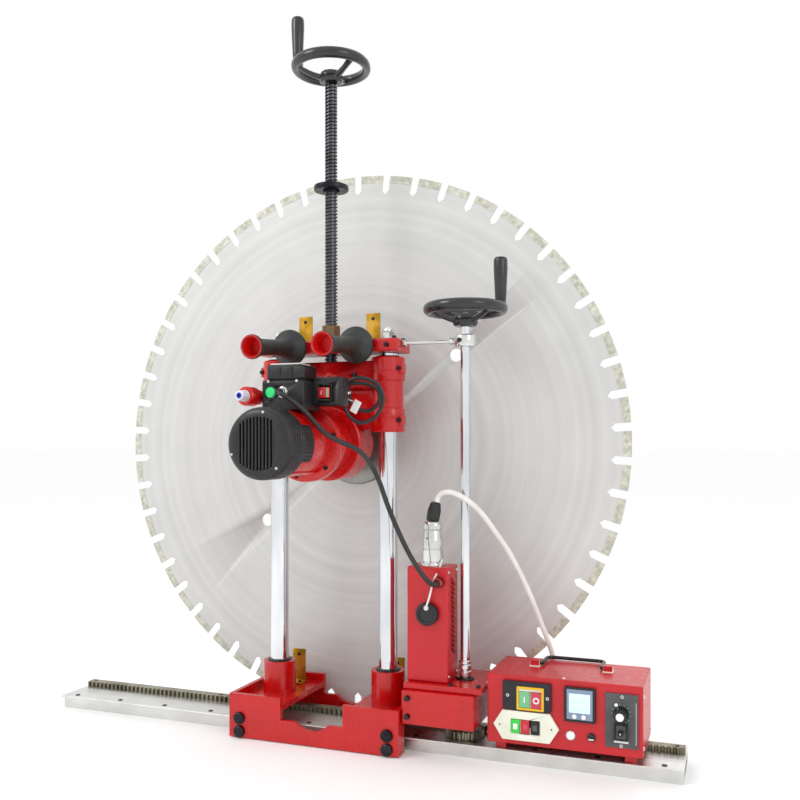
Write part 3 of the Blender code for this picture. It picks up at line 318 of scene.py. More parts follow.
NYLON = moulded("black glass-filled nylon", "#1e1e20", "#131315", 0.40)
PANEL_BLACK = moulded("black ABS", "#181b24", "#101219", 0.34)
PANEL_WHITE = moulded("ivory ABS", "#eef0e0", "#e0e3cf", 0.30, coat=0.2)
PANEL_GREY = moulded("grey ABS", "#56575a", "#454649", 0.42)
YELLOW = moulded("yellow ABS", "#eec01f", "#dfae0c", 0.32)
GREEN = moulded("green ABS", "#35d845", "#25c235", 0.28, coat=0.3)
SOFT_GREEN = moulded("pale green cap", "#7fc48e", "#68b37a", 0.28, coat=0.3)
BUTTON_RED = moulded("red ABS", "#c8102a", "#b00a20", 0.28, coat=0.3)
PINK_RED = moulded("pale red cap", "#cf4258", "#bf3049", 0.28, coat=0.3)
BUTTON_BLACK = moulded("black gloss ABS", "#141416", "#0c0c0e", 0.24)
WHITE_MARK = moulded("white print", "#f6f6f2", "#ececea", 0.4)
LINER_RED = moulded("red vinyl liner", "#e21414", "#c80c0c", 0.30)
CORD_BLACK = cord_sheath("black rubber cable sheath", "#2b2b2d", "#1c1c1e")
CORD_WHITE = cord_sheath("white vinyl cable sheath", "#f1f0ec", "#dedcd5")
SCREEN = glow_panel("backlit meter window", "#c9e9f5", 0.35)
LENS = glow_panel("lamp lens", "#dcf7e4", 0.45)
SIGNAL_GREEN = glow_panel("green push cap", "#0fd070", 0.25)
METER_FACE = moulded("blue-grey ABS", "#8fa0b8", "#7e8fa8", 0.3)
BLUE = moulded("blue nylon", "#2a3fb0", "#1e2f95", 0.3)
PALE = moulded("white nylon", "#e8e8f4", "#d6d6e6", 0.3)
BLUE_INK = moulded("pale blue digits", "#9cc6dc", "#8fbcd4", 0.4)


# ---- mesh helpers ---------------------------------------------------------------------------
def solid(name, bm, material, sharp=30):
    """A finished mesh object at the origin, smooth but for its edges."""
    bmesh.ops.recalc_face_normals(bm, faces=bm.faces)
    mesh = bpy.data.meshes.new(name)
    bm.to_mesh(mesh)
    bm.free()
    mesh.shade_smooth()
    mesh.set_sharp_from_angle(angle=math.radians(sharp))
    mesh.materials.append(material)
    made = bpy.data.objects.new(name, mesh)
    bpy.context.scene.collection.objects.link(made)
    return made


def turn_to(direction):
    """The rotation that takes up to a direction."""
    return Vector(UP).rotation_difference(Vector(direction)).to_matrix().to_4x4()


def mm(*points):
    """An outline given as radius and height in millimetres."""
    return [(radius * MM, height * MM) for radius, height in points]


def lathe(name, profile, at, towards, material, steps=64, ring=False):
    """A turned shape from (radius, height) points; with ring, the outline closes on itself."""
    bm = bmesh.new()
    rows = []
    for radius, height in profile:
        if radius < 1e-6:
            rows.append([bm.verts.new((0, 0, height))])
            continue
        rows.append([bm.verts.new((radius * math.cos(2 * math.pi * k / steps),
                                   radius * math.sin(2 * math.pi * k / steps), height))
                     for k in range(steps)])
    pairs = list(zip(rows, rows[1:]))
    if ring:
        pairs.append((rows[-1], rows[0]))
    for upper, lower in pairs:
        for k in range(steps):
            n = (k + 1) % steps
            around = [upper[k % len(upper)], lower[k % len(lower)], lower[n % len(lower)],
                      upper[n % len(upper)]]
            around = list(dict.fromkeys(around))
            if len(around) > 2:
                bm.faces.new(around)
    bmesh.ops.transform(bm, matrix=Matrix.Translation(Vector(at)) @ turn_to(towards), verts=bm.verts)
    return solid(name, bm, material)


def crate(name, low, high, radius, material, segments=2, lean=None):
    """A box with rounded edges; lean turns it about its middle."""
    low = Vector(low)
    high = Vector(high)
    bm = bmesh.new()
    bmesh.ops.create_cube(bm, size=1.0)
    bmesh.ops.scale(bm, vec=high - low, verts=bm.verts)
    if radius:
        bmesh.ops.bevel(bm, geom=bm.edges[:], offset=radius, segments=segments, affect="EDGES",
                        profile=0.5)
    if lean is not None:
        bmesh.ops.transform(bm, matrix=lean, verts=bm.verts)
    bmesh.ops.translate(bm, vec=(low + high) / 2, verts=bm.verts)
    return solid(name, bm, material)


def baked(obj):
    """Apply an object's modifiers for good."""
    graph = bpy.context.evaluated_depsgraph_get()
    mesh = bpy.data.meshes.new_from_object(obj.evaluated_get(graph))
    obj.modifiers.clear()
    obj.data = mesh
    return obj


def carve(obj, *cutters):
    """Cut tools out of a piece and throw them away."""
    for cutter in cutters:
        step = obj.modifiers.new("cut", "BOOLEAN")
        step.operation = "DIFFERENCE"
        step.solver = "EXACT"
        step.object = cutter
    baked(obj)
    for cutter in cutters:
        bpy.data.objects.remove(cutter, do_unlink=True)
    return obj


def bridge(bm, rings):
    """Join rings of equal vertex counts by quads, and close both ends."""
    for a, b in zip(rings, rings[1:]):
        count = len(a)
        for k in range(count):
            bm.faces.new((a[k], a[(k + 1) % count], b[(k + 1) % count], b[k]))
    bm.faces.new(list(reversed(rings[0])))
    bm.faces.new(rings[-1])


def around(count, radius, centre, start=0.0):
    """Places on a circle that faces the operator, each with its outward direction."""
    spots = []
    for k in range(count):
        angle = start + 2 * math.pi * k / count
        out = (math.cos(angle), 0, math.sin(angle))
        spots.append(((centre[0] + radius * out[0], centre[1], centre[2] + radius * out[2]), out))
    return spots


def tube(name, points, radius, material, sides=16):
    """A round tube along points, with its ends closed, keeping its rings square to the path."""
    bm = bmesh.new()
    points = [Vector(p) for p in points]
    side = None
    rings = []
    for i, point in enumerate(points):
        ahead = points[min(i + 1, len(points) - 1)] - points[max(i - 1, 0)]
        ahead.normalize()
        if side is None:
            side = ahead.orthogonal()
        side = (side - ahead * side.dot(ahead)).normalized()
        other = ahead.cross(side)
        rings.append([bm.verts.new(point + radius * (math.cos(2 * math.pi * k / sides) * side
                                                     + math.sin(2 * math.pi * k / sides) * other))
                      for k in range(sides)])
    bridge(bm, rings)
    return solid(name, bm, material, 50)


def piece(obj, body, *stood_for, slot=None):
    """Ride a piece on its body, and hide the solids it stands for."""
    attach(obj, body)
    if stood_for:
        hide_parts(*stood_for)
        slot = slot or SLOT_OF[stood_for[0]]
    return obj


def turned(name, profile, at, towards, material, steps, body, *stood_for, slot=None, ring=False):
    """A turned piece, riding on its body."""
    return piece(lathe(name, profile, at, towards, material, steps, ring), body, *stood_for, slot=slot)


def slab(name, low, high, radius, material, segments, body, *stood_for, slot=None, lean=None):
    """A rounded box, riding on its body."""
    return piece(crate(name, low, high, radius, material, segments, lean), body, *stood_for, slot=slot)


def eased(node, width, material, segments=2, angle=35):
    """The solid's own shape with its edges rounded over."""
    bm = bmesh.new()
    bm.from_mesh(frame["nodes"][node].data)
    bmesh.ops.remove_doubles(bm, verts=bm.verts, dist=0.00002)
    bmesh.ops.dissolve_limit(bm, angle_limit=math.radians(1.0), verts=bm.verts, edges=bm.edges)
    made = solid(node + "_body", bm, material, angle)
    step = made.modifiers.new("edges", "BEVEL")
    step.width = width
    step.segments = segments
    step.limit_method = "ANGLE"
    step.angle_limit = math.radians(angle)
    step.use_clamp_overlap = True
    step.harden_normals = True
    faces = made.modifiers.new("flat faces", "TRIANGULATE")
    faces.quad_method = "BEAUTY"
    faces.keep_custom_normals = True
    weigh = made.modifiers.new("normals", "WEIGHTED_NORMAL")
    weigh.keep_sharp = True
    baked(made)
    return piece(made, BODY_OF[node], node)


def middle(node):
    """The centre of a node's box."""
    low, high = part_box(node)
    return (low + high) / 2


# ---- repeated pieces ------------------------------------------------------------------------
def repeat_tree():
    """Heads or blocks set on points, each turned to its point's aim, as one mesh."""
    tree = bpy.data.node_groups.new("repeated heads", "GeometryNodeTree")
    face = tree.interface
    face.new_socket("Geometry", in_out="INPUT", socket_type="NodeSocketGeometry")
    sizes = {}
    for name, kind in (("Radius", "NodeSocketFloat"), ("Height", "NodeSocketFloat"),
                       ("Sides", "NodeSocketInt"), ("Block", "NodeSocketVector"),
                       ("Use Block", "NodeSocketBool"), ("Material", "NodeSocketMaterial")):
        sizes[name] = face.new_socket(name, in_out="INPUT", socket_type=kind).identifier
    face.new_socket("Geometry", in_out="OUTPUT", socket_type="NodeSocketGeometry")
    into = add(tree, "NodeGroupInput")
    head = add(tree, "GeometryNodeMeshCone",
               {"Vertices": into.outputs["Sides"], "Radius Bottom": into.outputs["Radius"],
                "Depth": into.outputs["Height"]})
    top = add(tree, "ShaderNodeMath", {0: into.outputs["Radius"], 1: 0.84}, operation="MULTIPLY")
    tree.links.new(top.outputs["Value"], head.inputs["Radius Top"])
    block = add(tree, "GeometryNodeMeshCube", {"Size": into.outputs["Block"]})
    pick = add(tree, "GeometryNodeSwitch", {"Switch": into.outputs["Use Block"],
                                            "False": head.outputs["Mesh"],
                                            "True": block.outputs["Mesh"]}, input_type="GEOMETRY")
    aim = add(tree, "GeometryNodeInputNamedAttribute", {"Name": "aim"}, data_type="FLOAT_VECTOR")
    spin = add(tree, "GeometryNodeInputNamedAttribute", {"Name": "roll"}, data_type="FLOAT_VECTOR")
    turn = add(tree, "FunctionNodeAlignRotationToVector", {"Vector": aim.outputs["Attribute"]}, axis="Z")
    turn = add(tree, "FunctionNodeAlignRotationToVector",
               {"Rotation": turn.outputs["Rotation"], "Vector": spin.outputs["Attribute"]},
               axis="X", pivot_axis="Z")
    placed = add(tree, "GeometryNodeInstanceOnPoints",
                 {"Points": into.outputs["Geometry"], "Instance": pick.outputs["Output"],
                  "Rotation": turn.outputs["Rotation"]})
    real = add(tree, "GeometryNodeRealizeInstances", {"Geometry": placed.outputs["Instances"]})
    shaded = add(tree, "GeometryNodeSetMaterial", {"Geometry": real.outputs["Geometry"],
                                                   "Material": into.outputs["Material"]})
    add(tree, "NodeGroupOutput", {"Geometry": shaded.outputs["Geometry"]})
    return tree, sizes


REPEAT, REPEAT_SIZES = repeat_tree()


def repeat(name, spots, material, body, slot, radius=0.003, height=0.002, sides=24, block=None):
    """Equal heads or blocks at (place, aim, roll) spots, made one plain mesh."""
    mesh = bpy.data.meshes.new(name)
    mesh.from_pydata([tuple(spot[0]) for spot in spots], [], [])
    for key, index, spare in (("aim", 1, UP), ("roll", 2, RIGHT)):
        field = mesh.attributes.new(key, "FLOAT_VECTOR", "POINT")
        for item, spot in zip(field.data, spots):
            item.vector = spot[index] if len(spot) > index else spare
    made = bpy.data.objects.new(name, mesh)
    bpy.context.scene.collection.objects.link(made)
    step = made.modifiers.new("repeat", "NODES")
    step.node_group = REPEAT
    values = {"Radius": radius, "Height": height, "Sides": sides, "Block": block or (1, 1, 1),
              "Use Block": block is not None, "Material": material}
    for key, value in values.items():
        step[REPEAT_SIZES[key]] = value
    baked(made)
    made.data.set_sharp_from_angle(angle=math.radians(30))
    return piece(made, body, slot=slot)


def socket_heads(name, spots, body, slot, radius, material=None):
    """Cap screws: a head, with the shade inside its hexagon recess painted on its end as a dark hexagon."""
    repeat(name, spots, material or OXIDE, body, slot, radius, radius * 1.1, 28)
    # painted shade: a thin black hexagon on each head stands for the shadow inside the socket recess
    ends = [(Vector(spot[0]) + Vector(spot[1]).normalized() * (radius * 1.1 + 0.00005), *spot[1:])
            for spot in spots]
    repeat(name + "_recess", ends, BUTTON_BLACK, body, slot, radius * 0.52, 0.0002, 6)


make_camera()

# ---- cords ----------------------------------------------------------------------------------
MOTOR_LEAD = [(-25, -197.9, 587), (-25, -204, 587), (-23, -210, 586), (-13, -214, 582),
              (2, -209, 572), (17, -195, 556), (29, -180, 537), (40, -165, 521), (58, -152, 509),
              (80, -138, 497), (97, -126, 476), (110, -117, 445), (120, -110, 411),
              (134, -103, 372), (152, -98, 333), (170, -97, 305), (184, -93, 287),
              (191, -86, 281), (191, -74.7, 281)]
CONTROL_LEAD = [(179.6, -34.2, 410.8), (182, -36, 418), (190, -39, 425), (203, -42, 427),
                (220, -42, 422), (238, -34, 409), (254, -20, 389), (270, -2, 360),
                (288, 19, 325), (305, 37, 284), (321, 51, 240), (334, 61, 200), (343, 68, 174),
                (349, 74, 152), (352, 77, 134), (352, 77, 120.4)]
SWITCH_LEAD = [(30, -124.9, 596), (30, -119, 596), (33, -111, 598), (46, -100, 603),
               (72, -92, 605), (95, -88, 594), (96, -84, 574), (76, -82, 560), (56, -88, 566),
               (44, -96, 584), (50, -104, 604), (72, -106, 613), (101, -102, 602),
               (109, -98, 576), (97, -98, 551), (72, -102, 540), (54, -106, 550),
               (48, -112, 566), (48, -119, 576), (48, -124.9, 577)]


def smooth_path(points, count):
    """A Catmull-Rom curve through points in millimetres, read at even steps, in metres."""
    points = [Vector(point) * MM for point in points]
    ends = [2 * points[0] - points[1]] + points + [2 * points[-1] - points[-2]]
    dense = []
    for i in range(1, len(ends) - 2):
        a, b, c, d = ends[i - 1:i + 3]
        for k in range(24):
            t = k / 24
            dense.append(0.5 * (2 * b + (c - a) * t + (2 * a - 5 * b + 4 * c - d) * t * t
                                + (3 * b - a - 3 * c + d) * t ** 3))
    dense.append(points[-1])
    reach = [0.0]
    for a, b in zip(dense, dense[1:]):
        reach.append(reach[-1] + (b - a).length)
    path = []
    for k in range(count):
        want = reach[-1] * k / (count - 1)
        i = max(j for j in range(len(reach) - 1) if reach[j] <= want + 1e-9)
        share = (want - reach[i]) / (reach[i + 1] - reach[i])
        path.append(dense[i].lerp(dense[i + 1], min(share, 1.0)))
    return path, reach[-1]


def make_cord(node, route, radius, material, count):
    """A sheathed lead, tube and centreline, standing for its solid."""
    path, length = smooth_path(route, count)
    sheath = tube(node + "_sheath", smooth_path(route, 4 * count)[0], radius, material, 20)
    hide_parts(node)
    return sheath, path


motor_cord, motor_path = make_cord("motor_lead", MOTOR_LEAD, 0.0040, CORD_BLACK, 40)
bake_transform(motor_cord)
box_cord, box_path = make_cord("control_lead", CONTROL_LEAD, 0.0045, CORD_WHITE, 36)
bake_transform(box_cord)
switch_cord, switch_path = make_cord("switch_lead", SWITCH_LEAD, 0.0032, CORD_BLACK, 60)
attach(switch_cord, "carriage")

# ---- rail and rack --------------------------------------------------------------------------
RAIL_LOW, RAIL_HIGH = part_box("rail")
RAIL_TOP = RAIL_HIGH.z
SCREW_ROW_PITCH = 0.0985
SCREW_ROWS = 12


def make_rail():
    """The rail, its rows of countersunk screws and the rack with its own screws."""
    eased("rail", 0.0005, RAIL_STEEL)
    eased("gear_rack", 0.0003, RACK_STEEL, 1)
    columns = [RAIL_LOW.x + 0.028 + k * SCREW_ROW_PITCH for k in range(SCREW_ROWS)]
    spots = [((x, y, RAIL_TOP - 0.0002), UP) for x in columns for y in (-0.046, 0.050)]
    repeat("rail_screw_heads", spots, OXIDE, "rail", "rail_steel", 0.0046, 0.0012, 28)
    # painted shade: thin black hexagons on the screw heads stand for the shadow inside their socket recesses
    repeat("rail_screw_recess_shade", [((x, y, z + 0.0012), a) for (x, y, z), a in spots],
           BUTTON_BLACK, "rail", "rail_steel", 0.0024, 0.0003, 6)
    low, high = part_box("gear_rack")
    pins = [((x, (low.y + high.y) / 2 + 0.003, high.z - 0.0003), UP)
            for x in (low.x + 0.012, low.x + 0.3, high.x - 0.3, high.x - 0.012)]
    repeat("rack_screw_heads", pins, OXIDE, "rail", "rack_steel", 0.0036, 0.0010, 24)


# ---- saddle ---------------------------------------------------------------------------------
STUD_HEAD = 0.0103
ROLLER_RADIUS = {"upper": 0.0105, "lower": 0.0085}


def make_saddle():
    """The welded saddle and the studs that carry its four rollers."""
    eased("saddle", 0.0018, RED, 3)
    for end in ("left", "right"):
        for level in ("upper", "lower"):
            node = "%s_roller_%s" % (level, end)
            low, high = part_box(node)
            centre = (low + high) / 2
            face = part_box("saddle")[0].y
            head = STUD_HEAD
            wheel = ROLLER_RADIUS[level]
            profile = [(0.0, 0.0064), (head * 0.55, 0.0064), (head * 0.80, 0.0058),
                       (head * 0.95, 0.0044), (head, 0.0026), (head, 0.0003), (0.005, 0.0003),
                       (0.005, face - high.y + 0.016), (wheel, face - high.y + 0.016),
                       (wheel, face - high.y), (0.0, face - high.y)]
            turned(node + "_stud", profile, (centre.x, face, centre.z), FRONT, OXIDE, 64, node, node)


BOSS_TOP = 0.119              # the saddle's sockets, where the columns stand


def make_columns():
    """Hard-chromed columns, with their wiper rings and the domed nuts on top."""
    for node in ("left_column", "right_column"):
        low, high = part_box(node)
        x, y = middle(node).x, middle(node).y
        radius = (high.x - low.x) / 2
        profile = [(0.0, high.z), (radius - 0.001, high.z), (radius, high.z - 0.001),
                   (radius, low.z), (0.0, low.z)]
        turned(node + "_bar", profile, (x, y, 0), UP, CHROME, 96, "saddle", node)
        boss = BOSS_TOP
        seal = [(radius + 0.0002, boss + 0.0035), (radius + 0.0035, boss + 0.0030),
                (radius + 0.0060, boss + 0.0005), (radius + 0.0060, boss - 0.001),
                (radius + 0.0002, boss - 0.001)]
        turned(node + "_seal", seal, (x, y, 0), UP, BUTTON_BLACK, 64, "saddle", slot="column_chrome",
               ring=True)
        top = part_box("head_plate")[1].z
        washer = mm((0, 2.2), (14.5, 2.2), (15.2, 1.4), (15.2, -0.2), (0, -0.2))
        turned(node + "_washer", washer, (x, y, top), UP, PANEL_WHITE, 48, "saddle", slot="polished")
        hexagon = mm((0, 14.5), (9.8, 14.5), (11.8, 12.5), (11.8, 2.2), (0, 2.2))
        turned(node + "_nut", hexagon, (x, y, top), UP, NICKEL, 6, "saddle", slot="polished")
        dome = [(0.0, 0.0245)]
        dome += [(0.0092 * math.sin(a), 0.0150 + 0.0095 * math.cos(a))
                 for a in (0.2, 0.4, 0.65, 0.9, 1.2, 1.45, 1.5708)]
        dome += [(0.0092, 0.0140), (0.0, 0.0140)]
        turned(node + "_nut_dome", dome, (x, y, top), UP, NICKEL, 32, "saddle", slot="polished")


# ---- head -----------------------------------------------------------------------------------
GRIP_OFFSET = 0.0625
GRIP_HEIGHT = 0.6735
GRIP_TILT = math.radians(5.0)


def make_head():
    """The plate across the columns, with the feed nut and the two carry grips."""
    eased("head_plate", 0.0020, RED, 3)
    low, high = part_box("head_plate")
    nut_low, nut_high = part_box("feed_nut")
    place = middle("feed_nut")
    inner = 0.0116
    size = 0.0165
    flange = [(inner, 0.0085), (0.0195, 0.0085), (0.0205, 0.0075), (0.0205, 0.0005), (inner, 0.0005)]
    ring = lathe("feed_nut_flange", flange, (place.x, place.y, nut_low.z), UP, BRONZE, 64, True)
    piece(ring, "saddle", "feed_nut")
    body = [(inner, nut_high.z - nut_low.z), (size - 0.0016, nut_high.z - nut_low.z),
            (size, nut_high.z - nut_low.z - 0.0016), (size, 0.008), (inner, 0.008)]
    turned("feed_nut_hexagon", body, (place.x, place.y, nut_low.z), UP, BRONZE, 8, "saddle", "feed_nut",
           ring=True)
    spots = [((x, low.y - 0.0001, (low.z + high.z) / 2), FRONT) for x in (low.x + 0.020, high.x - 0.020)]
    spots += [((x, y, high.z - 0.0001), UP) for x in (low.x + 0.012, high.x - 0.010) for y in (-0.031, 0.014)]
    socket_heads("head_screws", spots, "saddle", "red_enamel", 0.0042)
    for side, node in ((-1, "left_carry_grip"), (1, "right_carry_grip")):
        make_carry_grip(node, place.x + side * GRIP_OFFSET, low.y)


def make_carry_grip(node, x, plate_front):
    """A flared hand grip with its collar, bolted through; the front end is hollow and lined."""
    aim = (0, -math.cos(GRIP_TILT), -math.sin(GRIP_TILT))
    at = (x, plate_front - 0.002, GRIP_HEIGHT)
    shell = mm((0, 3), (29, 3), (30.8, 4.6), (31.5, 8), (30.8, 11.8), (28, 14.6), (22.5, 18.5),
               (18, 23.5), (15.5, 30), (14.2, 37), (13.6, 45), (13.3, 70), (13.4, 95), (13.8, 110),
               (14.8, 122), (16.5, 130.5), (18.6, 135.2), (19.9, 137), (20, 139.2), (19.5, 141.4),
               (18, 142), (15.8, 141.4), (14.8, 138), (13.8, 112.5), (0, 112))
    turned(node + "_rubber", shell, at, aim, RUBBER, 72, "saddle", node)
    liner = mm((0, 112.6), (12.2, 113), (13.6, 120), (14.7, 138), (15.8, 141.2), (17.6, 142.8),
               (18.6, 142), (18.2, 140.5), (16, 140), (14.4, 130), (12.6, 112.4), (0, 112))
    turned(node + "_liner", liner, at, aim, LINER_RED, 72, "saddle", slot="grip_rubber")
    collar = mm((0, 3.2), (21.5, 3.2), (21.5, -0.5), (0, -0.5))
    turned(node + "_washer", collar, at, aim, OXIDE, 48, "saddle", slot="grip_rubber")


# ---- feed screw and handwheels --------------------------------------------------------------
FEED_WHEEL_Z = 1.155
TRAVERSE_WHEEL_Z = 0.718
WHEEL_RADIUS = 0.070
WHEEL_ARMS = 3
COLLAR_Z = 0.953
SCREW_LEAD = 0.006


def join(name, pieces_in, material):
    """Several meshes made one."""
    bm = bmesh.new()
    for item in pieces_in:
        bm.from_mesh(item.data)
        bpy.data.objects.remove(item, do_unlink=True)
    mesh = bpy.data.meshes.new(name)
    bm.to_mesh(mesh)
    bm.free()
    mesh.materials.append(material)
    mesh.set_sharp_from_angle(angle=math.radians(35))
    made = bpy.data.objects.new(name, mesh)
    bpy.context.scene.collection.objects.link(made)
    return made


def thread(name, at, low, high, radius, core, lead, material, steps=28):
    """A trapezoidal screw thread between two heights, its ends turned down to the core."""
    bm = bmesh.new()
    phases = ((core, 0.0), (core, 0.30), (radius, 0.44), (radius, 0.86))
    turns = int((high - low) / lead) + 3
    columns = []
    for i in range(steps + 1):
        angle = 2 * math.pi * i / steps
        column = []
        for turn in range(turns):
            for reach, phase in phases:
                height = low + lead * (turn - 1 + i / steps + phase)
                inside = low + 0.001 < height < high - 0.001
                reach = reach if inside else core
                height = min(max(height, low), high)
                column.append(bm.verts.new((reach * math.cos(angle), reach * math.sin(angle), height)))
        columns.append(column)
    for left, right in zip(columns, columns[1:]):
        for j in range(len(left) - 1):
            bm.faces.new((left[j], right[j], right[j + 1], left[j + 1]))
    bmesh.ops.remove_doubles(bm, verts=bm.verts, dist=0.000004)
    bmesh.ops.dissolve_degenerate(bm, edges=bm.edges, dist=0.000004)
    bmesh.ops.translate(bm, vec=Vector(at), verts=bm.verts)
    rims = [edge for edge in bm.edges if len(edge.link_faces) == 1]
    bmesh.ops.holes_fill(bm, edges=rims, sides=0)
    return solid(name, bm, material, 40)


def make_wheel(node, body, x, y, z, bore):
    """A moulded handwheel: D-section rim, three curved arms, a deep hub and its cap."""
    rim = []
    for k in range(14):
        angle = 2 * math.pi * k / 14
        rim.append((WHEEL_RADIUS - 0.0078 + 0.0078 * math.cos(angle), 0.0105 + 0.0094 * math.sin(angle)))
    parts = [lathe("rim", list(reversed(rim)), (x, y, z), UP, PHENOLIC, 96, True)]
    hub = [(bore, -0.004), (bore, -0.018), (0.0175, -0.018), (0.0200, -0.0155), (0.0210, -0.012),
           (0.0205, -0.004), (0.0180, 0.0), (0.0165, 0.0005), (0.0150, -0.004)]
    parts.append(lathe("hub", list(reversed(hub)), (x, y, z), UP, PHENOLIC, 64, True))
    for k in range(WHEEL_ARMS):
        angle = math.pi / 2 + 2 * math.pi * k / WHEEL_ARMS
        out = Vector((math.cos(angle), math.sin(angle), 0))
        side = Vector((-out.y, out.x, 0))
        bm = bmesh.new()
        rings = []
        for t in range(9):
            s = t / 8
            reach = 0.0150 + (0.0605 - 0.0150) * s
            lift = -0.0085 + 0.0175 * s ** 1.5
            half = 0.0080 - 0.0028 * math.sin(math.pi * s)
            thick = 0.0052 - 0.0012 * s
            ring = []
            for m in range(12):
                turn = 2 * math.pi * m / 12
                ring.append(bm.verts.new(Vector((x, y, z)) + out * reach + side * half * math.cos(turn)
                                         + Vector(UP) * (lift + thick * math.sin(turn))))
            rings.append(ring)
        bridge(bm, rings)
        parts.append(solid("arm", bm, PHENOLIC, 60))
    piece(join(node + "_moulding", parts, PHENOLIC), body, node)
    top = mm((0, 4.5), (5.2, 4.5), (6.2, 3.5), (6.2, -3), (0, -3))
    turned(node + "_end_nut", top, (x, y, z), UP, NICKEL, 6, body, slot=SLOT_OF[node])
    boss = mm((0, 21.2), (8.6, 21.2), (9.2, 20.2), (9.2, 12), (0, 12))
    return boss


def make_crank(node, wheel_body, boss, wheel_z):
    """The loose crank handle, waisted, on a pin with a washer."""
    place = middle(node)
    at = (place.x, place.y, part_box(node)[0].z)
    profile = mm((0, 74.6), (5.5, 74.6), (9.2, 73.5), (10.8, 71.5), (11.5, 68), (11.5, 56), (11, 43),
                 (10.1, 25), (9.3, 9), (8.8, 4), (8.2, 0.2), (0, 0.2))
    turned(node + "_handle", profile, at, UP, PHENOLIC, 56, node, node)
    pin = mm((0, 75.2), (3, 75.2), (3.4, 74.8), (3.4, 74), (0, 74))
    turned(node + "_pin_head", pin, at, UP, NICKEL, 24, node, slot=SLOT_OF[node])
    turned(node + "_seat", boss, (place.x, place.y, wheel_z), UP, PHENOLIC, 40, wheel_body,
           slot=SLOT_OF[node])


def make_feed_screw():
    """The threaded feed screw with its stop collar, handwheel and crank."""
    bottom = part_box("feed_screw")[0].z
    place = middle("feed_nut")
    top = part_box("feed_handwheel")[0].z
    screw = thread("feed_screw_thread", (place.x, place.y, 0), bottom, top - 0.0003, 0.0110, 0.0084,
                   SCREW_LEAD, THREAD_STEEL)
    piece(screw, "feed_screw", "feed_screw")
    collar = mm((0, 4.5), (29, 4.5), (30.2, 3.6), (30.5, 2), (30.5, -2), (30.2, -3.6), (29, -4.5),
                (0, -4.5))
    turned("feed_screw_collar", collar, (place.x, place.y, COLLAR_Z), UP, OXIDE, 80, "feed_screw",
           "feed_screw")
    neck = mm((0, 9), (14, 9), (14.6, 8), (14.6, -7.5), (14, -8.5), (0, -8.5))
    turned("feed_screw_collar_hub", neck, (place.x, place.y, COLLAR_Z), UP, OXIDE, 48, "feed_screw",
           slot="screw_black")
    boss = make_wheel("feed_handwheel", "feed_screw", place.x, place.y, FEED_WHEEL_Z, 0.0060)
    make_crank("feed_crank_grip", "feed_screw", boss, FEED_WHEEL_Z)


# ---- carriage -------------------------------------------------------------------------------
MACHINE_X = middle("blade").x
SPINDLE_Z = DISC_CENTRE.z
COLUMN_XS = (middle("left_column").x, middle("right_column").x)
COLUMN_Y = middle("left_column").y


def make_carriage():
    """Two clamped sleeves on the columns, the crossbar and the ring that holds the gearbox."""
    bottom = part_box("carriage")[0].z
    sleeve = mm((16.6, 654), (27.5, 654), (29, 652.5), (29, 631), (28.4, 630.4), (28.4, 629.2),
                (29, 628.6), (29, 615.5), (28.3, 614), (26.5, 612.8), (26.5, 567.2), (28.3, 566),
                (29, 564.5), (29, 551.4), (28.4, 550.8), (28.4, 549.6), (29, 549), (29, 527.5),
                (27.5, 526), (16.6, 526))
    for x, side in zip(COLUMN_XS, ("left", "right")):
        turned("carriage_sleeve_" + side, sleeve, (x, COLUMN_Y, 0), UP, RED, 72, "carriage", "carriage",
               ring=True)
        wiper = mm((16.4, 656.2), (20.5, 656.2), (21.2, 655.2), (21.2, 653.5), (16.4, 653.5))
        turned("sleeve_wiper_" + side, wiper, (x, COLUMN_Y, 0), UP, BUTTON_BLACK, 64, "carriage",
               slot="red_enamel", ring=True)
    bar_piece = crate("carriage_crossbar", (COLUMN_XS[0], COLUMN_Y - 0.022, 0.600),
                      (COLUMN_XS[1], COLUMN_Y + 0.022, 0.648), 0.0025, RED, 3)
    for x in COLUMN_XS:
        hole = lathe("hole", mm((0, 700), (22.5, 700), (22.5, 500), (0, 500)), (x, COLUMN_Y, 0), UP,
                     RED, 48)
        carve(bar_piece, hole)
    well = lathe("well", [(0.0, 0.66), (0.0116, 0.66), (0.0116, bottom + 0.17), (0.0, bottom + 0.17)],
                 (MACHINE_X, middle("feed_nut").y, 0), UP, RED, 40)
    carve(bar_piece, well)
    piece(bar_piece, "carriage", "carriage")
    web = crate("carriage_web", (COLUMN_XS[0] + 0.02, COLUMN_Y - 0.010, 0.530),
                (COLUMN_XS[1] - 0.02, COLUMN_Y + 0.010, 0.601), 0.002, RED, 2)
    carve(web, lathe("hole", mm((0, 50), (56, 50), (56, -50), (0, -50)),
                     (MACHINE_X, 0, SPINDLE_Z), FRONT, RED, 72))
    piece(web, "carriage", "carriage")
    ring = mm((50.3, 36), (62, 36), (64, 34), (64, -18), (62, -20), (50.3, -20))
    turned("carriage_ring", ring, (MACHINE_X, 0, SPINDLE_Z), FRONT, RED, 96, "carriage", "carriage",
           ring=True)
    for x, side in zip(COLUMN_XS, (-1, 1)):
        for z, name in ((0.634, "upper"), (0.546, "lower")):
            edge = x + side * 0.0255
            slab("sleeve_lug_%s_%d" % (name, side > 0), (edge - 0.0045, COLUMN_Y - 0.016, z - 0.009),
                 (edge + 0.0065, COLUMN_Y + 0.004, z + 0.009), 0.0022, RED, 3, "carriage",
                 slot="red_enamel")
    bolts = [((x + side * 0.0265, COLUMN_Y - 0.0158, z), FRONT) for x, side in zip(COLUMN_XS, (-1, 1))
             for z in (0.634, 0.546)]
    socket_heads("sleeve_clamp_screws", bolts, "carriage", "red_enamel", 0.0040)
    caps = [((MACHINE_X + dx, COLUMN_Y - 0.0219, 0.6240), FRONT) for dx in (-0.052, 0.052)]
    socket_heads("crossbar_screws", caps, "carriage", "red_enamel", 0.0042)


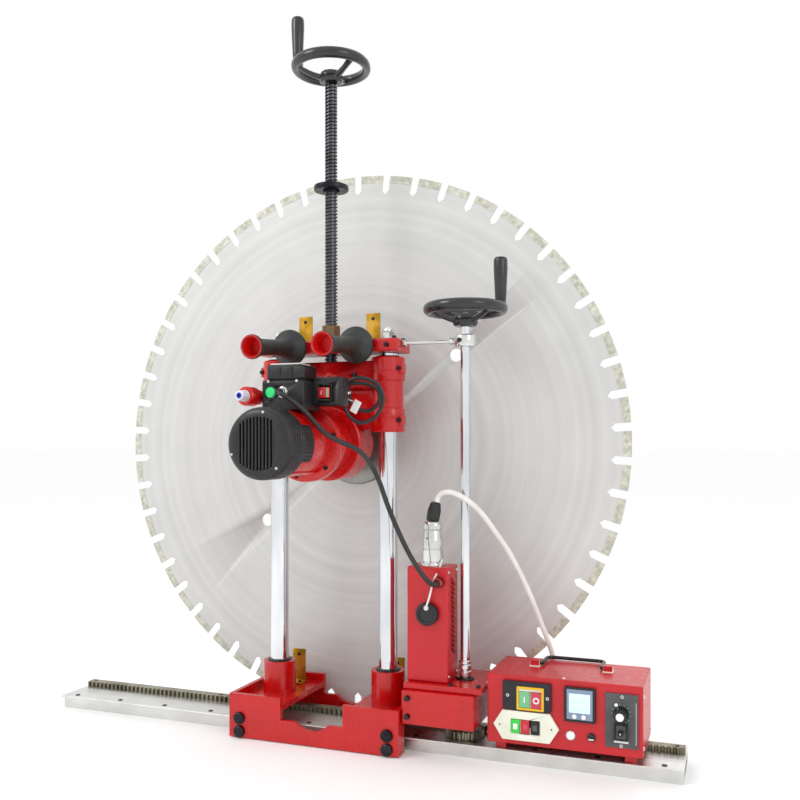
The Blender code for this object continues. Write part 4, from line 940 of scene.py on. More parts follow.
# ---- motor ----------------------------------------------------------------------------------
def shell_patch(name, radius, depth, y_low, y_high, middle_angle, half_angle, material, steps=40,
                ribs=0, rise=0.0):
    """A curved plate on a drum whose axis lies along Y; ribs raise every other strip."""
    bm = bmesh.new()
    rows = []
    for i in range(steps + 1):
        angle = middle_angle - half_angle + 2 * half_angle * i / steps
        lift = rise if ribs and (i * ribs // steps) % 2 else 0.0
        ring = []
        for reach, y in ((radius, y_low), (radius + depth + lift, y_low), (radius + depth + lift, y_high),
                         (radius, y_high)):
            ring.append(bm.verts.new((MACHINE_X + reach * math.cos(angle), y,
                                      SPINDLE_Z + reach * math.sin(angle))))
        rows.append(ring)
    bridge(bm, rows)
    return solid(name, bm, material, 30)


def make_motor():
    """The motor: drum, slotted fan cap, louvres, name plate, and the flanged gear drum."""
    at = (MACHINE_X, 0, SPINDLE_Z)
    housing = mm((0, 221.7), (50, 221.7), (52, 220), (52, 156), (51.2, 154.8), (51.2, 152.8),
                 (52, 151.6), (51.4, 140), (49, 125), (48, 120.3), (0, 120.3))
    turned("motor_drum", housing, at, FRONT, MOTOR_RED, 96, "carriage", "motor_housing")
    cap = mm((0, 272), (40.5, 272), (45.5, 271.4), (50, 269.8), (53, 267.2), (54.6, 263.6), (55, 260),
             (55, 222.2), (52, 222.2), (52, 257), (50.5, 262), (46, 266.8), (0, 267.2))
    cover = lathe("fan_cap_moulding", cap, at, FRONT, NYLON, 112)
    tools = []
    for k in range(-5, 5):
        across = (k + 0.5) * 0.0058 - 0.004
        tall = math.sqrt(0.0455 ** 2 - across ** 2) * 0.88
        tools.append(crate("slot", (MACHINE_X + across - 0.00155, -0.28, SPINDLE_Z - tall),
                           (MACHINE_X + across + 0.00155, -0.262, SPINDLE_Z + tall), 0, NYLON))
    for y in (-0.2560, -0.2480, -0.2400):
        tools.append(crate("slot", (MACHINE_X + 0.040, y - 0.0014, SPINDLE_Z - 0.014),
                           (MACHINE_X + 0.060, y + 0.0014, SPINDLE_Z + 0.014), 0, NYLON))
        tools.append(crate("slot", (MACHINE_X - 0.060, y - 0.0014, SPINDLE_Z - 0.014),
                           (MACHINE_X - 0.040, y + 0.0014, SPINDLE_Z + 0.014), 0, NYLON))
    carve(cover, *tools)
    piece(cover, "carriage", "fan_cap")
    fan = mm((0, 265), (14, 265), (16, 260), (46, 256), (46, 250), (0, 250))
    turned("cooling_fan", fan, at, FRONT, BUTTON_BLACK, 40, "carriage", slot="cap_plastic")
    spots = [((MACHINE_X + 0.0475 * math.cos(a), -0.2700, SPINDLE_Z + 0.0475 * math.sin(a)), FRONT)
             for a in (math.radians(80), math.radians(-50), math.radians(200))]
    repeat("fan_cap_screws", spots, NICKEL, "carriage", "cap_plastic", 0.0024, 0.0022, 20)
    for side, angle in (("right", 0.0), ("left", math.pi)):
        patch = shell_patch("motor_louvres_" + side, 0.0500, 0.0028, -0.2225, -0.1900, angle,
                            math.radians(33), NYLON, 88, 22, 0.0011)
        piece(patch, "carriage", slot="cap_plastic")
    piece(shell_patch("motor_name_plate", 0.0505, 0.0018, -0.2150, -0.1780, math.radians(103),
                      math.radians(22), NICKEL, 24), "carriage", slot="polished")
    for angle, name in ((-62, "front"), (-118, "rear")):
        rib = shell_patch("motor_rib_" + name, 0.0490, 0.0050, -0.2190, -0.1260, math.radians(angle),
                          math.radians(3.2), MOTOR_RED, 6)
        piece(rib, "carriage", slot="motor_red")
    gear = mm((0, 120), (58, 120), (62.2, 118.6), (63, 116.5), (63, 97.5), (62.2, 95), (60, 94),
              (50, 94), (50, -59), (48.5, -60), (30.2, -60), (29.6, -41.5), (13.1, -41.5),
              (13.1, 29.5), (0, 29.5))
    turned("gear_drum", gear, at, FRONT, MOTOR_RED, 96, "carriage", "gear_housing")
    circle = around(6, 0.0555, (MACHINE_X, -0.1198, SPINDLE_Z), math.radians(15))
    bolts = [(place, FRONT) for place, _ in circle]
    socket_heads("gear_flange_screws", bolts, "carriage", "motor_red", 0.0036)


SEGMENTS = 54
SLOT_HALF = 0.0078
SEGMENT_HEIGHT = 0.0135
SEGMENT_STEPS = 8
SEGMENT_PROUD = 0.0006


def make_blade():
    """The disc: ground core with radial gullets, pin holes and thicker diamond segments."""
    low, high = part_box("blade")
    core = eased("blade", 0.00025, DISC_STEEL, 1)
    holes = []
    for dx, dz in ((-0.192, -0.148), (0.192, 0.160)):
        holes.append(lathe("hole", mm((0, 20), (12, 20), (12, -20), (0, -20)),
                           (MACHINE_X + dx, (low.y + high.y) / 2, SPINDLE_Z + dz), FRONT, DISC_STEEL, 40))
    carve(core, *holes)
    root, rounded = DISC_RADIUS - SEGMENT_HEIGHT, DISC_RADIUS - 0.0005
    front, back = low.y - SEGMENT_PROUD, high.y + SEGMENT_PROUD
    section = ((root, front), (rounded, front), (DISC_RADIUS, low.y), (DISC_RADIUS, high.y),
               (rounded, back), (root, back))
    bm = bmesh.new()
    for k in range(SEGMENTS):
        start = 2 * math.pi * (k - 0.5) / SEGMENTS + SLOT_HALF / DISC_RADIUS
        stop = 2 * math.pi * (k + 0.5) / SEGMENTS - SLOT_HALF / DISC_RADIUS
        rings = []
        for i in range(SEGMENT_STEPS + 1):
            angle = start + (stop - start) * i / SEGMENT_STEPS
            rings.append([bm.verts.new((MACHINE_X + reach * math.cos(angle), y,
                                        SPINDLE_Z + reach * math.sin(angle))) for reach, y in section])
        bridge(bm, rings)
    piece(solid("blade_segments", bm, SEGMENT, 30), "spindle", slot="blade_steel")
    at = (MACHINE_X, 0, SPINDLE_Z)
    arbor = mm((0, 29.2), (12.5, 29.2), (12.5, -93.5), (69, -93.5), (73.5, -94.5), (75, -96.5),
               (75, -103.4), (12.5, -103.4), (12.5, -128.2), (0, -128.2))
    turned("blade_arbor", arbor, at, FRONT, FLANGE_STEEL, 96, "spindle", "spindle")
    clamp = mm((12.8, -108.5), (60, -108.5), (60, -114), (56, -117.5), (40, -117.5), (12.8, -117.5))
    turned("outer_flange", clamp, at, FRONT, FLANGE_STEEL, 80, "spindle", "flange_nut", ring=True)
    nut = mm((12.8, -117.4), (23.5, -117.4), (23.5, -126.5), (21.5, -127.5), (12.8, -127.5))
    turned("arbor_nut", nut, at, FRONT, OXIDE, 6, "spindle", "flange_nut", ring=True)
    circle = around(6, 0.046, (MACHINE_X, 0.1174, SPINDLE_Z), math.radians(30))
    bolts = [(place, BACK) for place, _ in circle]
    socket_heads("outer_flange_screws", bolts, "spindle", "flange_steel", 0.0038)


# ---- switches and water port ----------------------------------------------------------------
SWITCH_BOX_LOW = (-0.064, -0.185, 0.5585)
SWITCH_BOX_HIGH = (0.010, -0.124, 0.634)
WATER_PORT = (-0.082, -0.165, 0.581)


def make_switches():
    """The switch box on the motor, with its green button, its side rocker and glands."""
    low, high = SWITCH_BOX_LOW, SWITCH_BOX_HIGH
    body = crate("switch_box_body", low, (high[0], high[1], 0.6050), 0.0022, NYLON, 3)
    x, z = middle("motor_button").x, middle("motor_button").z
    carve(body, lathe("pocket", mm((0, 200), (9.1, 200), (9.1, 177), (0, 177)), (x, 0, z),
                      FRONT, NYLON, 40))
    piece(body, "carriage", "switch_box")
    slab("switch_box_lid", (low[0] + 0.006, low[1] + 0.004, 0.6058), (high[0] - 0.006, high[1],
         high[2] - 0.0025), 0.0040, NYLON, 4, "carriage", "switch_box")
    slab("switch_box_seam", (low[0] + 0.001, low[1] + 0.001, 0.6046), (high[0] - 0.001, high[1] - 0.001,
         0.6062), 0.0003, BUTTON_BLACK, 1, "carriage", slot="cap_plastic")
    for k in range(3):
        x_rib = low[0] + 0.012 + k * 0.0215
        slab("switch_lid_panel_%d" % k, (x_rib, low[1] + 0.0030, 0.6095), (x_rib + 0.019,
             low[1] + 0.0060, 0.6265), 0.0010, NYLON, 2, "carriage", slot="cap_plastic")
    spots = [((x_at, low[1] + 0.0006, 0.6046), FRONT) for x_at in (low[0] + 0.012, high[0] - 0.012)]
    repeat("switch_box_screws", spots, NICKEL, "carriage", "polished", 0.0026, 0.0018, 20)
    slab("switch_box_label", (low[0] + 0.010, low[1] + 0.010, high[2] - 0.0026), (high[0] - 0.012,
         high[1] - 0.012, high[2] - 0.0004), 0.0006, WHITE_MARK, 2, "carriage", slot="cap_plastic")
    side = crate("side_switch_body", (0.0085, -0.152, 0.566), (0.060, -0.126, 0.612), 0.0020, NYLON, 3)
    rocker = middle("mains_rocker")
    carve(side, crate("pocket", (rocker.x - 0.0105, -0.160, rocker.z - 0.0105),
                      (rocker.x + 0.0105, -0.143, rocker.z + 0.0105), 0, NYLON))
    piece(side, "carriage", "switch_box")
    rim = crate("rocker_frame", (rocker.x - 0.0135, -0.1532, rocker.z - 0.0135),
                (rocker.x + 0.0135, -0.1512, rocker.z + 0.0135), 0.0008, BUTTON_BLACK, 2)
    carve(rim, crate("pocket", (rocker.x - 0.0105, -0.160, rocker.z - 0.0105),
                     (rocker.x + 0.0105, -0.143, rocker.z + 0.0105), 0, NYLON))
    piece(rim, "carriage", slot="cap_plastic")
    rock_low, rock_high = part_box("mains_rocker")
    slab("mains_rocker_cap", rock_low, rock_high, 0.0012, BUTTON_RED, 3, "mains_rocker", "mains_rocker")
    slab("mains_rocker_lens", (rock_high.x - 0.0052, rock_low.y - 0.0002, rock_low.z + 0.0014),
         (rock_high.x - 0.0012, rock_low.y + 0.0010, rock_high.z - 0.0014), 0.0002, SOFT_GREEN, 1,
         "mains_rocker", slot="button_red")
    slab("mains_rocker_mark", (rock_low.x + 0.0050, rock_low.y - 0.0002, rocker.z - 0.0035),
         (rock_low.x + 0.0058, rock_low.y + 0.0006, rocker.z + 0.0035), 0.0002, WHITE_MARK, 1,
         "mains_rocker", slot="button_red")
    button_low, button_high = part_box("motor_button")
    depth = button_high.y - button_low.y
    dome = [(0.0, depth), (0.0050, depth - 0.0001), (0.0072, depth - 0.0006), (0.0083, depth - 0.0018),
            (0.0085, depth - 0.0030), (0.0085, 0.0), (0.0, 0.0)]
    turned("motor_button_cap", dome, (x, button_high.y, z), FRONT, SIGNAL_GREEN, 48, "motor_button",
           "motor_button")
    bezel = mm((9.1, 186.6), (10.8, 186.6), (11.8, 185.8), (11.8, 184.5), (9.1, 184.5))
    turned("motor_button_ring", bezel, (x, 0, z), FRONT, BUTTON_BLACK, 48, "carriage",
           slot="cap_plastic", ring=True)
    gland_at = motor_path[0]
    gland = mm((4.3, 197.2), (6, 197), (6.6, 196), (6.8, 190), (8.8, 189.5), (8.8, 184.6),
               (4.3, 184.6))
    turned("motor_lead_gland", gland, (gland_at.x, 0, gland_at.z), FRONT, NICKEL, 32, "carriage",
           "switch_box", ring=True)
    sleeve = mm((4.1, 201.5), (5, 201.2), (5.6, 196.5), (4.1, 196.5))
    turned("motor_lead_sleeve", sleeve, (gland_at.x, 0, gland_at.z), FRONT, BUTTON_BLACK, 32,
           "carriage", slot="cap_plastic", ring=True)
    for k, end in enumerate((switch_path[0], switch_path[-1])):
        boot = mm((3.3, 8), (4.5, 7.8), (5.8, 3), (6.2, -1.4), (3.3, -1.4))
        turned("switch_lead_boot_%d" % k, boot, tuple(end), BACK, BUTTON_BLACK, 32, "carriage",
               slot="cap_plastic", ring=True)
    make_inline_plug()


INLINE_PLUG = Vector((0.040, -0.099, 0.590))
LEAD_TAG = Vector((0.066, -0.1105, 0.566))


def make_inline_plug():
    """The switch lead's in-line plug, with its nickel nut and the white tag tied to it."""
    near = min(range(len(switch_path)), key=lambda i: (switch_path[i] - INLINE_PLUG).length)
    centre = switch_path[near]
    along = (switch_path[min(near + 1, len(switch_path) - 1)] - switch_path[near - 1]).normalized()
    shell = mm((3.4, 18), (5.8, 17.8), (7.4, 15), (8, 10), (8, -9), (7.2, -13), (5.6, -16),
               (3.4, -16.2))
    turned("inline_plug", shell, tuple(centre), tuple(along), NYLON, 40, "carriage", slot="cap_plastic",
           ring=True)
    ring = mm((8, 5), (8.8, 4.6), (8.8, 0.8), (8, 0.4))
    turned("inline_plug_ring", ring, tuple(centre), tuple(along), NICKEL, 40, "carriage",
           slot="polished", ring=True)
    lean = Matrix.Rotation(math.radians(28), 4, "Y")
    half = Vector((0.0065, 0.0004, 0.0105))
    slab("lead_tag", LEAD_TAG - half, LEAD_TAG + half, 0.0003, WHITE_MARK, 1, "carriage",
         slot="cap_plastic", lean=lean)
    tie = [centre + Vector((0.004, -0.006, -0.004)), Vector((0.050, -0.1120, 0.582)),
           Vector((0.056, -0.1130, 0.577)), LEAD_TAG + Vector((-0.0045, 0, 0.0090))]
    piece(tube("lead_tag_tie", tie, 0.0007, WHITE_MARK, 8), "carriage", slot="cap_plastic")


def make_water_port():
    """The quick coupling that feeds water to the disc."""
    x, _, z = WATER_PORT
    boss = mm((0, 43), (9, 43), (12.5, 42.4), (15, 40), (15.5, 37), (15.5, 19), (14.5, 15), (12.2, 10),
              (12, 0), (0, 0))
    turned("water_boss", boss, WATER_PORT, FRONT, MOTOR_RED, 64, "carriage", "water_port")
    nose = mm((4.8, 60), (6.4, 60), (7.5, 59), (8.2, 56), (8.8, 48), (9.6, 44), (9.6, 42.5),
              (4.8, 42.5))
    turned("water_nose", nose, WATER_PORT, FRONT, PALE, 48, "carriage", "water_port", ring=True)
    collet = mm((0, 56), (1.8, 56), (2, 57.5), (2.4, 60.6), (4, 60.6), (4.9, 59.6), (4.9, 45), (0, 45))
    turned("water_collet", collet, WATER_PORT, FRONT, BLUE, 40, "carriage", slot="motor_red")
    slab("water_arm", (x - 0.009, -0.170, z - 0.009), (-0.064, -0.150, z + 0.009), 0.002, MOTOR_RED, 3,
         "carriage", "water_port")


# ---- traverse drive -------------------------------------------------------------------------
def make_drive():
    """The housing over the pinion, with its plate and screws."""
    eased("drive_housing", 0.0012, RED, 3)
    eased("drive_plate", 0.0008, RED, 2)
    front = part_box("drive_housing")[0].y
    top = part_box("drive_plate")[1].z
    spots = [((0.1455, front - 0.0001, z), FRONT) for z in (0.0960, 0.0665)]
    socket_heads("drive_front_screws", spots, "saddle", "red_enamel", 0.0048)
    plate_low, plate_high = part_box("drive_plate")
    right = plate_high.x - 0.008
    tops = [((x, y, top - 0.0001), UP) for x, y in
            ((right, plate_low.y + 0.012), (right, plate_high.y - 0.012),
             (0.2135, plate_low.y + 0.006), (0.2135, plate_high.y - 0.010))]
    socket_heads("drive_plate_screws", tops, "saddle", "red_enamel", 0.0036)


def make_traverse_shaft():
    """The upright traverse rod with its collars, handwheel, clamp and stay."""
    low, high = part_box("traverse_rod")
    place = middle("traverse_rod")
    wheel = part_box("traverse_handwheel")[0].z
    rod = [(0.0, high.z), (0.0060, high.z), (0.0060, wheel), (0.0080, wheel - 0.001),
           (0.0080, low.z), (0.0, low.z)]
    turned("traverse_rod_bar", rod, (place.x, place.y, 0), UP, CHROME, 80, "traverse_shaft",
           "traverse_rod")
    collars = []
    for z, reach, tall in ((0.1465, 0.0104, 0.0050), (0.1390, 0.0112, 0.0070), (0.1275, 0.0106, 0.0085)):
        ring = [(0.0081, z + tall / 2), (reach - 0.0008, z + tall / 2), (reach, z + tall / 2 - 0.0008),
                (reach, z - tall / 2 + 0.0008), (reach - 0.0008, z - tall / 2), (0.0081, z - tall / 2)]
        collars.append(lathe("collar", list(ring), (place.x, place.y, 0), UP, NICKEL, 56, True))
    piece(join("rod_collars", collars, NICKEL), "traverse_shaft", slot="column_chrome")
    seal = mm((8.3, 121.5), (13, 121.2), (14.8, 119.5), (15, 117.8), (8.3, 117.8))
    turned("rod_seal", seal, (place.x, place.y, 0), UP, BUTTON_BLACK, 48, "saddle", slot="red_enamel",
           ring=True)
    eased("pinion", 0.0002, RACK_STEEL, 1)
    boss = make_wheel("traverse_handwheel", "traverse_shaft", place.x, place.y, TRAVERSE_WHEEL_Z, 0.0062)
    make_crank("traverse_crank_grip", "traverse_shaft", boss, TRAVERSE_WHEEL_Z)
    clamp_low, clamp_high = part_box("rod_clamp")
    clamp = [(0.0086, clamp_high.z), (0.0155, clamp_high.z), (0.0172, clamp_high.z - 0.0008),
             (0.0180, clamp_high.z - 0.0026), (0.0180, clamp_low.z + 0.0026),
             (0.0172, clamp_low.z + 0.0008), (0.0155, clamp_low.z), (0.0086, clamp_low.z)]
    turned("rod_clamp_ring", clamp, (place.x, place.y, 0), UP, NICKEL, 64, "saddle", "rod_clamp",
           ring=True)
    z = (clamp_low.z + clamp_high.z) / 2
    screw = [((place.x - 0.0050, place.y - 0.0168, z), FRONT)]
    socket_heads("rod_clamp_screw", screw, "saddle", "polished", 0.0040)
    stay_low, stay_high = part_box("stay_rod")
    start = Vector((stay_low.x, middle("stay_rod").y, middle("stay_rod").z))
    stop = Vector((stay_high.x, start.y, start.z))
    piece(tube("stay_rod_bar", [start, stop], 0.0030, NICKEL, 32), "saddle", "stay_rod")
    for k, end in enumerate((start + Vector((0.0005, 0, 0)), stop - Vector((0.0085, 0, 0)))):
        nut = mm((3.1, 7), (5.4, 7), (6.2, 6.2), (6.2, 0.8), (5.4, 0), (3.1, 0))
        turned("stay_nut_%d" % k, nut, tuple(end), RIGHT, NICKEL, 6, "saddle", slot="polished",
               ring=True)


# ---- connector box --------------------------------------------------------------------------
def make_connector_box():
    """The tall box with its cap on a strap, front gland and the plug on top."""
    eased("connector_box", 0.0009, BOX_RED, 2)
    low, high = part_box("connector_box")
    right = high.x
    lean = (0.0, 0.50, 0.86)
    # painted shade: black strips under the red louvre lips stand for the shadow in the louvre openings
    louvre_shade_spots = [((right + 0.0001, -0.032, 0.1650 + 0.0078 * k), lean, RIGHT) for k in range(16)]
    repeat("connector_box_louvre_shade", louvre_shade_spots, BUTTON_BLACK, "saddle", "box_red", block=(0.0006, 0.0210, 0.0034))
    blades = [((right + 0.0010, -0.032, 0.1650 + 0.0039 + 0.0078 * k), lean, RIGHT) for k in range(15)]
    repeat("connector_box_louvre_lips", blades, BOX_RED, "saddle", "box_red", block=(0.0024, 0.0215, 0.0016))
    corners = [((right - 0.0001, y, z), RIGHT) for y in (-0.0535, -0.0105) for z in (0.128, 0.297)]
    repeat("connector_box_screws", corners, NICKEL, "saddle", "polished", 0.0026, 0.0016, 20)
    cap_low, cap_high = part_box("socket_cap")
    centre = (cap_low + cap_high) / 2
    at = (centre.x, cap_high.y, centre.z)
    cap = mm((0, 10.4), (12, 10.4), (12.8, 12), (16, 12), (17.6, 11.2), (18.5, 9.2), (18.5, 3),
             (17.8, 2.2), (17.8, 0.3), (0, 0.3))
    turned("socket_cap_moulding", cap, at, FRONT, NYLON, 64, "saddle", "socket_cap")
    rim = around(24, 0.0184, (centre.x, cap_high.y - 0.0062, centre.z))
    grips = [(place, out, FRONT) for place, out in rim]
    repeat("socket_cap_grips", grips, NYLON, "saddle", "cap_plastic", block=(0.0060, 0.0018, 0.0009))
    end = motor_path[-1]
    gland = mm((4.3, 15), (5.6, 14.6), (7, 11), (8.6, 8), (9, 6), (9, -0.6), (4.3, -0.6))
    turned("front_gland_nut", gland, (end.x, low.y + 0.0145, end.z), FRONT, NYLON, 40, "saddle",
           slot="cap_plastic", ring=True)
    middle_plug = middle("plug_shell")
    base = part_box("plug_shell")[0].z
    plug = mm((0, 72), (14.2, 72), (15, 71.2), (16.5, 66.8), (16.5, 60), (15, 58.4), (15, 56),
              (15.8, 54.5), (15.8, 47), (16.6, 45.5), (17.5, 43), (17.5, 30), (16.4, 29), (16.4, 27),
              (17.5, 26), (17.5, 7), (16, 6), (16, 4.2), (19.6, 3.6), (20, 2.8), (20, 0), (0, 0))
    turned("plug_shell_barrel", plug, (middle_plug.x, middle_plug.y, base), UP, NICKEL, 72, "saddle",
           "plug_shell")
    knurl = [((middle_plug.x + 0.0172 * math.cos(a), middle_plug.y + 0.0172 * math.sin(a), base + 0.0365),
              (math.cos(a), math.sin(a), 0), UP) for a in [2 * math.pi * k / 36 for k in range(36)]]
    repeat("plug_shell_grips", knurl, NICKEL, "saddle", "polished", block=(0.0105, 0.0014, 0.0012))
    boot_at = (middle_plug.x, middle_plug.y, base + 0.0748)
    lean_boot = Vector((0.22, -0.07, 1.0)).normalized()
    boot = mm((0, 29.8), (5, 29.8), (7.8, 28.8), (9.2, 26.2), (10, 20), (11, 18), (11, 4), (10, -2),
              (0, -2.4))
    turned("plug_boot_moulding", boot, boot_at, tuple(lean_boot), NYLON, 56, "saddle", "plug_boot")
    strap = [(middle_plug.x + 0.0182, middle_plug.y - 0.006, base + 0.010), (0.1885, -0.054, 0.3010),
             (0.1835, -0.0645, 0.2850), (0.1795, -0.0665, 0.2680), (0.1765, -0.0685, 0.2550),
             (0.1745, -0.0715, 0.2470), (centre.x, cap_low.y - 0.0006, centre.z + 0.0120)]
    points = smooth_path([tuple(v / MM for v in p) for p in strap], 60)[0]
    piece(tube("cap_strap", points, 0.0016, CORD_WHITE, 12), "saddle", slot="cord_white")
    tip = mm((0, 1.4), (3.4, 1.4), (4.2, 0.6), (4.2, -1.4), (0, -1.4))
    turned("cap_strap_rivet", tip, (centre.x, cap_low.y - 0.0002, centre.z + 0.0105), FRONT, NICKEL, 32,
           "saddle", slot="polished")


# ---- control box ----------------------------------------------------------------------------
def make_press_button(node, colour, mark):
    """A rounded push key with its printed sign: a bar, a ring or a blank window."""
    low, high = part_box(node)
    body = BODY_OF[node]
    slab(node + "_key", low, high, 0.0010, colour, 3, body, node)
    centre = (low + high) / 2
    front = low.y - 0.0001
    if mark == "bar":
        sign = crate(node + "_sign", (centre.x - 0.0009, front, centre.z - 0.0048),
                     (centre.x + 0.0009, low.y + 0.0008, centre.z + 0.0048), 0.0002, WHITE_MARK, 1)
    elif mark == "ring":
        ring = mm((3, 0.3), (5, 0.3), (5, -0.8), (3, -0.8))
        sign = lathe(node + "_sign", ring, (centre.x, low.y, centre.z), FRONT, WHITE_MARK, 36, True)
    else:
        sign = crate(node + "_sign", (centre.x - 0.0034, front, centre.z - 0.0045),
                     (centre.x + 0.0034, low.y + 0.0008, centre.z + 0.0045), 0.0002, mark, 1)
    piece(sign, body, slot=SLOT_OF[node])


def frame_ring(name, low, high, width, bevel, material):
    """A flat rectangular surround."""
    outer = crate(name, low, high, bevel, material, 3)
    inner = crate("window", (low[0] + width, low[1] - 0.01, low[2] + width),
                  (high[0] - width, high[1] + 0.01, high[2] - width), 0, material)
    return carve(outer, inner)


YELLOW_FRAME_X = (0.3210, 0.3640)
YELLOW_FRAME_Z = (0.0915, 0.1280)
KEY_TRAY_X = (0.3240, 0.3610)
KEY_TRAY_Z = (0.0945, 0.1250)
LAMP = (0.4039, 0.0584)
FUSE = (0.4356, 0.0589)


def make_control_box():
    """The control box: case, four panels, keys, meter, lamp, fuse, knob and handle."""
    eased("control_case", 0.0010, BOX_RED, 3)
    eased("case_back", 0.0008, BOX_RED, 2)
    low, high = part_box("control_case")
    for node, material in (("power_plate", PANEL_BLACK), ("jog_plate", PANEL_WHITE),
                           ("speed_meter", PANEL_BLACK), ("knob_plate", PANEL_GREY)):
        eased(node, 0.0008, material, 3)
    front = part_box("power_plate")[0].y
    surround = frame_ring("power_surround", (YELLOW_FRAME_X[0], front - 0.0020, YELLOW_FRAME_Z[0]),
                          (YELLOW_FRAME_X[1], front + 0.001, YELLOW_FRAME_Z[1]),
                          0.0036, 0.0012, YELLOW)
    piece(surround, "rail", slot="panel_black")
    tray = crate("power_tray", (KEY_TRAY_X[0], front - 0.0006, KEY_TRAY_Z[0]),
                 (KEY_TRAY_X[1], front + 0.001, KEY_TRAY_Z[1]), 0.0004,
                 PANEL_WHITE, 1)
    start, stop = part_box("start_button"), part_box("stop_button")
    for inner_low, inner_high in (start, stop):
        carve(tray, crate("window", (inner_low.x - 0.0004, -0.08, inner_low.z - 0.0004),
                          (inner_high.x + 0.0004, -0.06, inner_high.z + 0.0004), 0, PANEL_WHITE))
    piece(tray, "rail", slot="panel_black")
    make_press_button("start_button", SOFT_GREEN, "bar")
    make_press_button("stop_button", PINK_RED, "ring")
    make_press_button("forward_button", GREEN, WHITE_MARK)
    make_press_button("halt_button", BUTTON_RED, PINK_RED)
    make_press_button("reverse_button", BUTTON_BLACK, PANEL_GREY)
    plate_low, plate_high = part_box("power_plate")
    screws = [((x, front - 0.0001, (plate_low.z + plate_high.z) / 2), FRONT)
              for x in (plate_low.x + 0.0085, plate_high.x - 0.0050)]
    repeat("power_plate_screws", screws, NICKEL, "rail", "polished", 0.0029, 0.0012, 24)
    # painted shade: small black discs on the screw heads stand for the shadow inside their recesses
    repeat("power_plate_recess_shade", [((x, y - 0.0012, z), a) for (x, y, z), a in screws], BUTTON_BLACK, "rail",
           "panel_black", 0.0012, 0.0001, 12)
    jog_low, jog_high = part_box("jog_plate")
    pins = [((x, jog_low.y - 0.0001, 0.0655), FRONT) for x in (jog_low.x + 0.0105, jog_high.x - 0.0115)]
    repeat("jog_plate_pins", pins, BUTTON_BLACK, "rail", "panel_black", 0.0013, 0.0003, 16)
    slab("jog_plate_nameplate", (0.3220, jog_low.y - 0.0002, 0.0475), (0.3480, jog_low.y + 0.0005,
         0.0510), 0.0001, WHITE_MARK, 1, "rail", slot="panel_white")
    make_meter()
    make_lamp_and_fuse(low.y)
    make_knob_panel()
    side = [((high.x - 0.0001, y, z), RIGHT) for y in (-0.054, 0.054) for z in (0.1255, 0.0480)]
    side += [((low.x + 0.0001, y, z), (-1, 0, 0)) for (_, y, z), _ in side]
    repeat("case_side_screws", side, NICKEL, "rail", "polished", 0.0032, 0.0018, 24)
    lid = [((0.392, -0.054, high.z if high.z < 0.1427 else 0.1425), UP)]
    repeat("case_lid_screw", lid, NICKEL, "rail", "polished", 0.0030, 0.0014, 24)
    make_bail()


def make_meter():
    """The speed meter, with its lit window and two keys."""
    low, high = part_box("speed_meter")
    slab("meter_face", (low.x + 0.0042, low.y - 0.0008, low.z + 0.0042), (high.x - 0.0042,
         low.y + 0.001, high.z - 0.0030), 0.0006, METER_FACE, 2, "rail", slot="panel_black")
    slab("meter_window", (low.x + 0.0078, low.y - 0.0014, low.z + 0.0145), (high.x - 0.0078,
         low.y + 0.001, high.z - 0.0092), 0.0005, SCREEN, 2, "rail", slot="panel_white")
    left = low.x + 0.0105
    for row, tall in ((high.z - 0.0205, 0.0078), (high.z - 0.0325, 0.0062)):
        cells = [((left + 0.0032 + k * 0.0062 + half, low.y - 0.0014, row), FRONT, RIGHT)
                 for k in range(4) for half in (-0.0018, 0.0018)]
        repeat("meter_digits_%d" % round(tall * 1e4), cells, BLUE_INK, "rail", "panel_white",
               block=(0.0005, tall, 0.0002))
    keys = [(((low.x + high.x) / 2 + dx, low.y - 0.0008, low.z + 0.0088), FRONT) for dx in (-0.0078, 0.0062)]
    repeat("meter_keys", keys, WHITE_MARK, "rail", "panel_white", 0.0037, 0.0014, 32)


def make_lamp_and_fuse(face):
    """The indicator lamp and the fuse holder below the meter."""
    at = (LAMP[0], face, LAMP[1])
    ring = mm((5.4, 2.8), (6.4, 2.8), (7.4, 1.8), (7.6, 0), (5.4, 0))
    turned("lamp_ring", ring, at, FRONT, NICKEL, 48, "rail", slot="polished", ring=True)
    dome = mm((0, 4), (2.6, 3.7), (4.4, 2.8), (5.5, 1.4), (5.5, -0.4), (0, -0.4))
    turned("lamp_lens", dome, at, FRONT, LENS, 48, "rail", slot="panel_white")
    at = (FUSE[0], face, FUSE[1])
    holder = mm((0, 5.2), (4.6, 5.2), (5.6, 4.4), (5.8, 1.2), (6.6, 0.8), (6.6, 0), (0, 0))
    turned("fuse_holder", holder, at, FRONT, BUTTON_BLACK, 40, "rail", slot="cap_plastic")
    slab("fuse_slot", (at[0] - 0.0040, face - 0.0058, at[2] - 0.0031), (at[0] + 0.0040, face - 0.0048,
         at[2] - 0.0014), 0.0002, WHITE_MARK, 1, "rail", slot="cap_plastic")


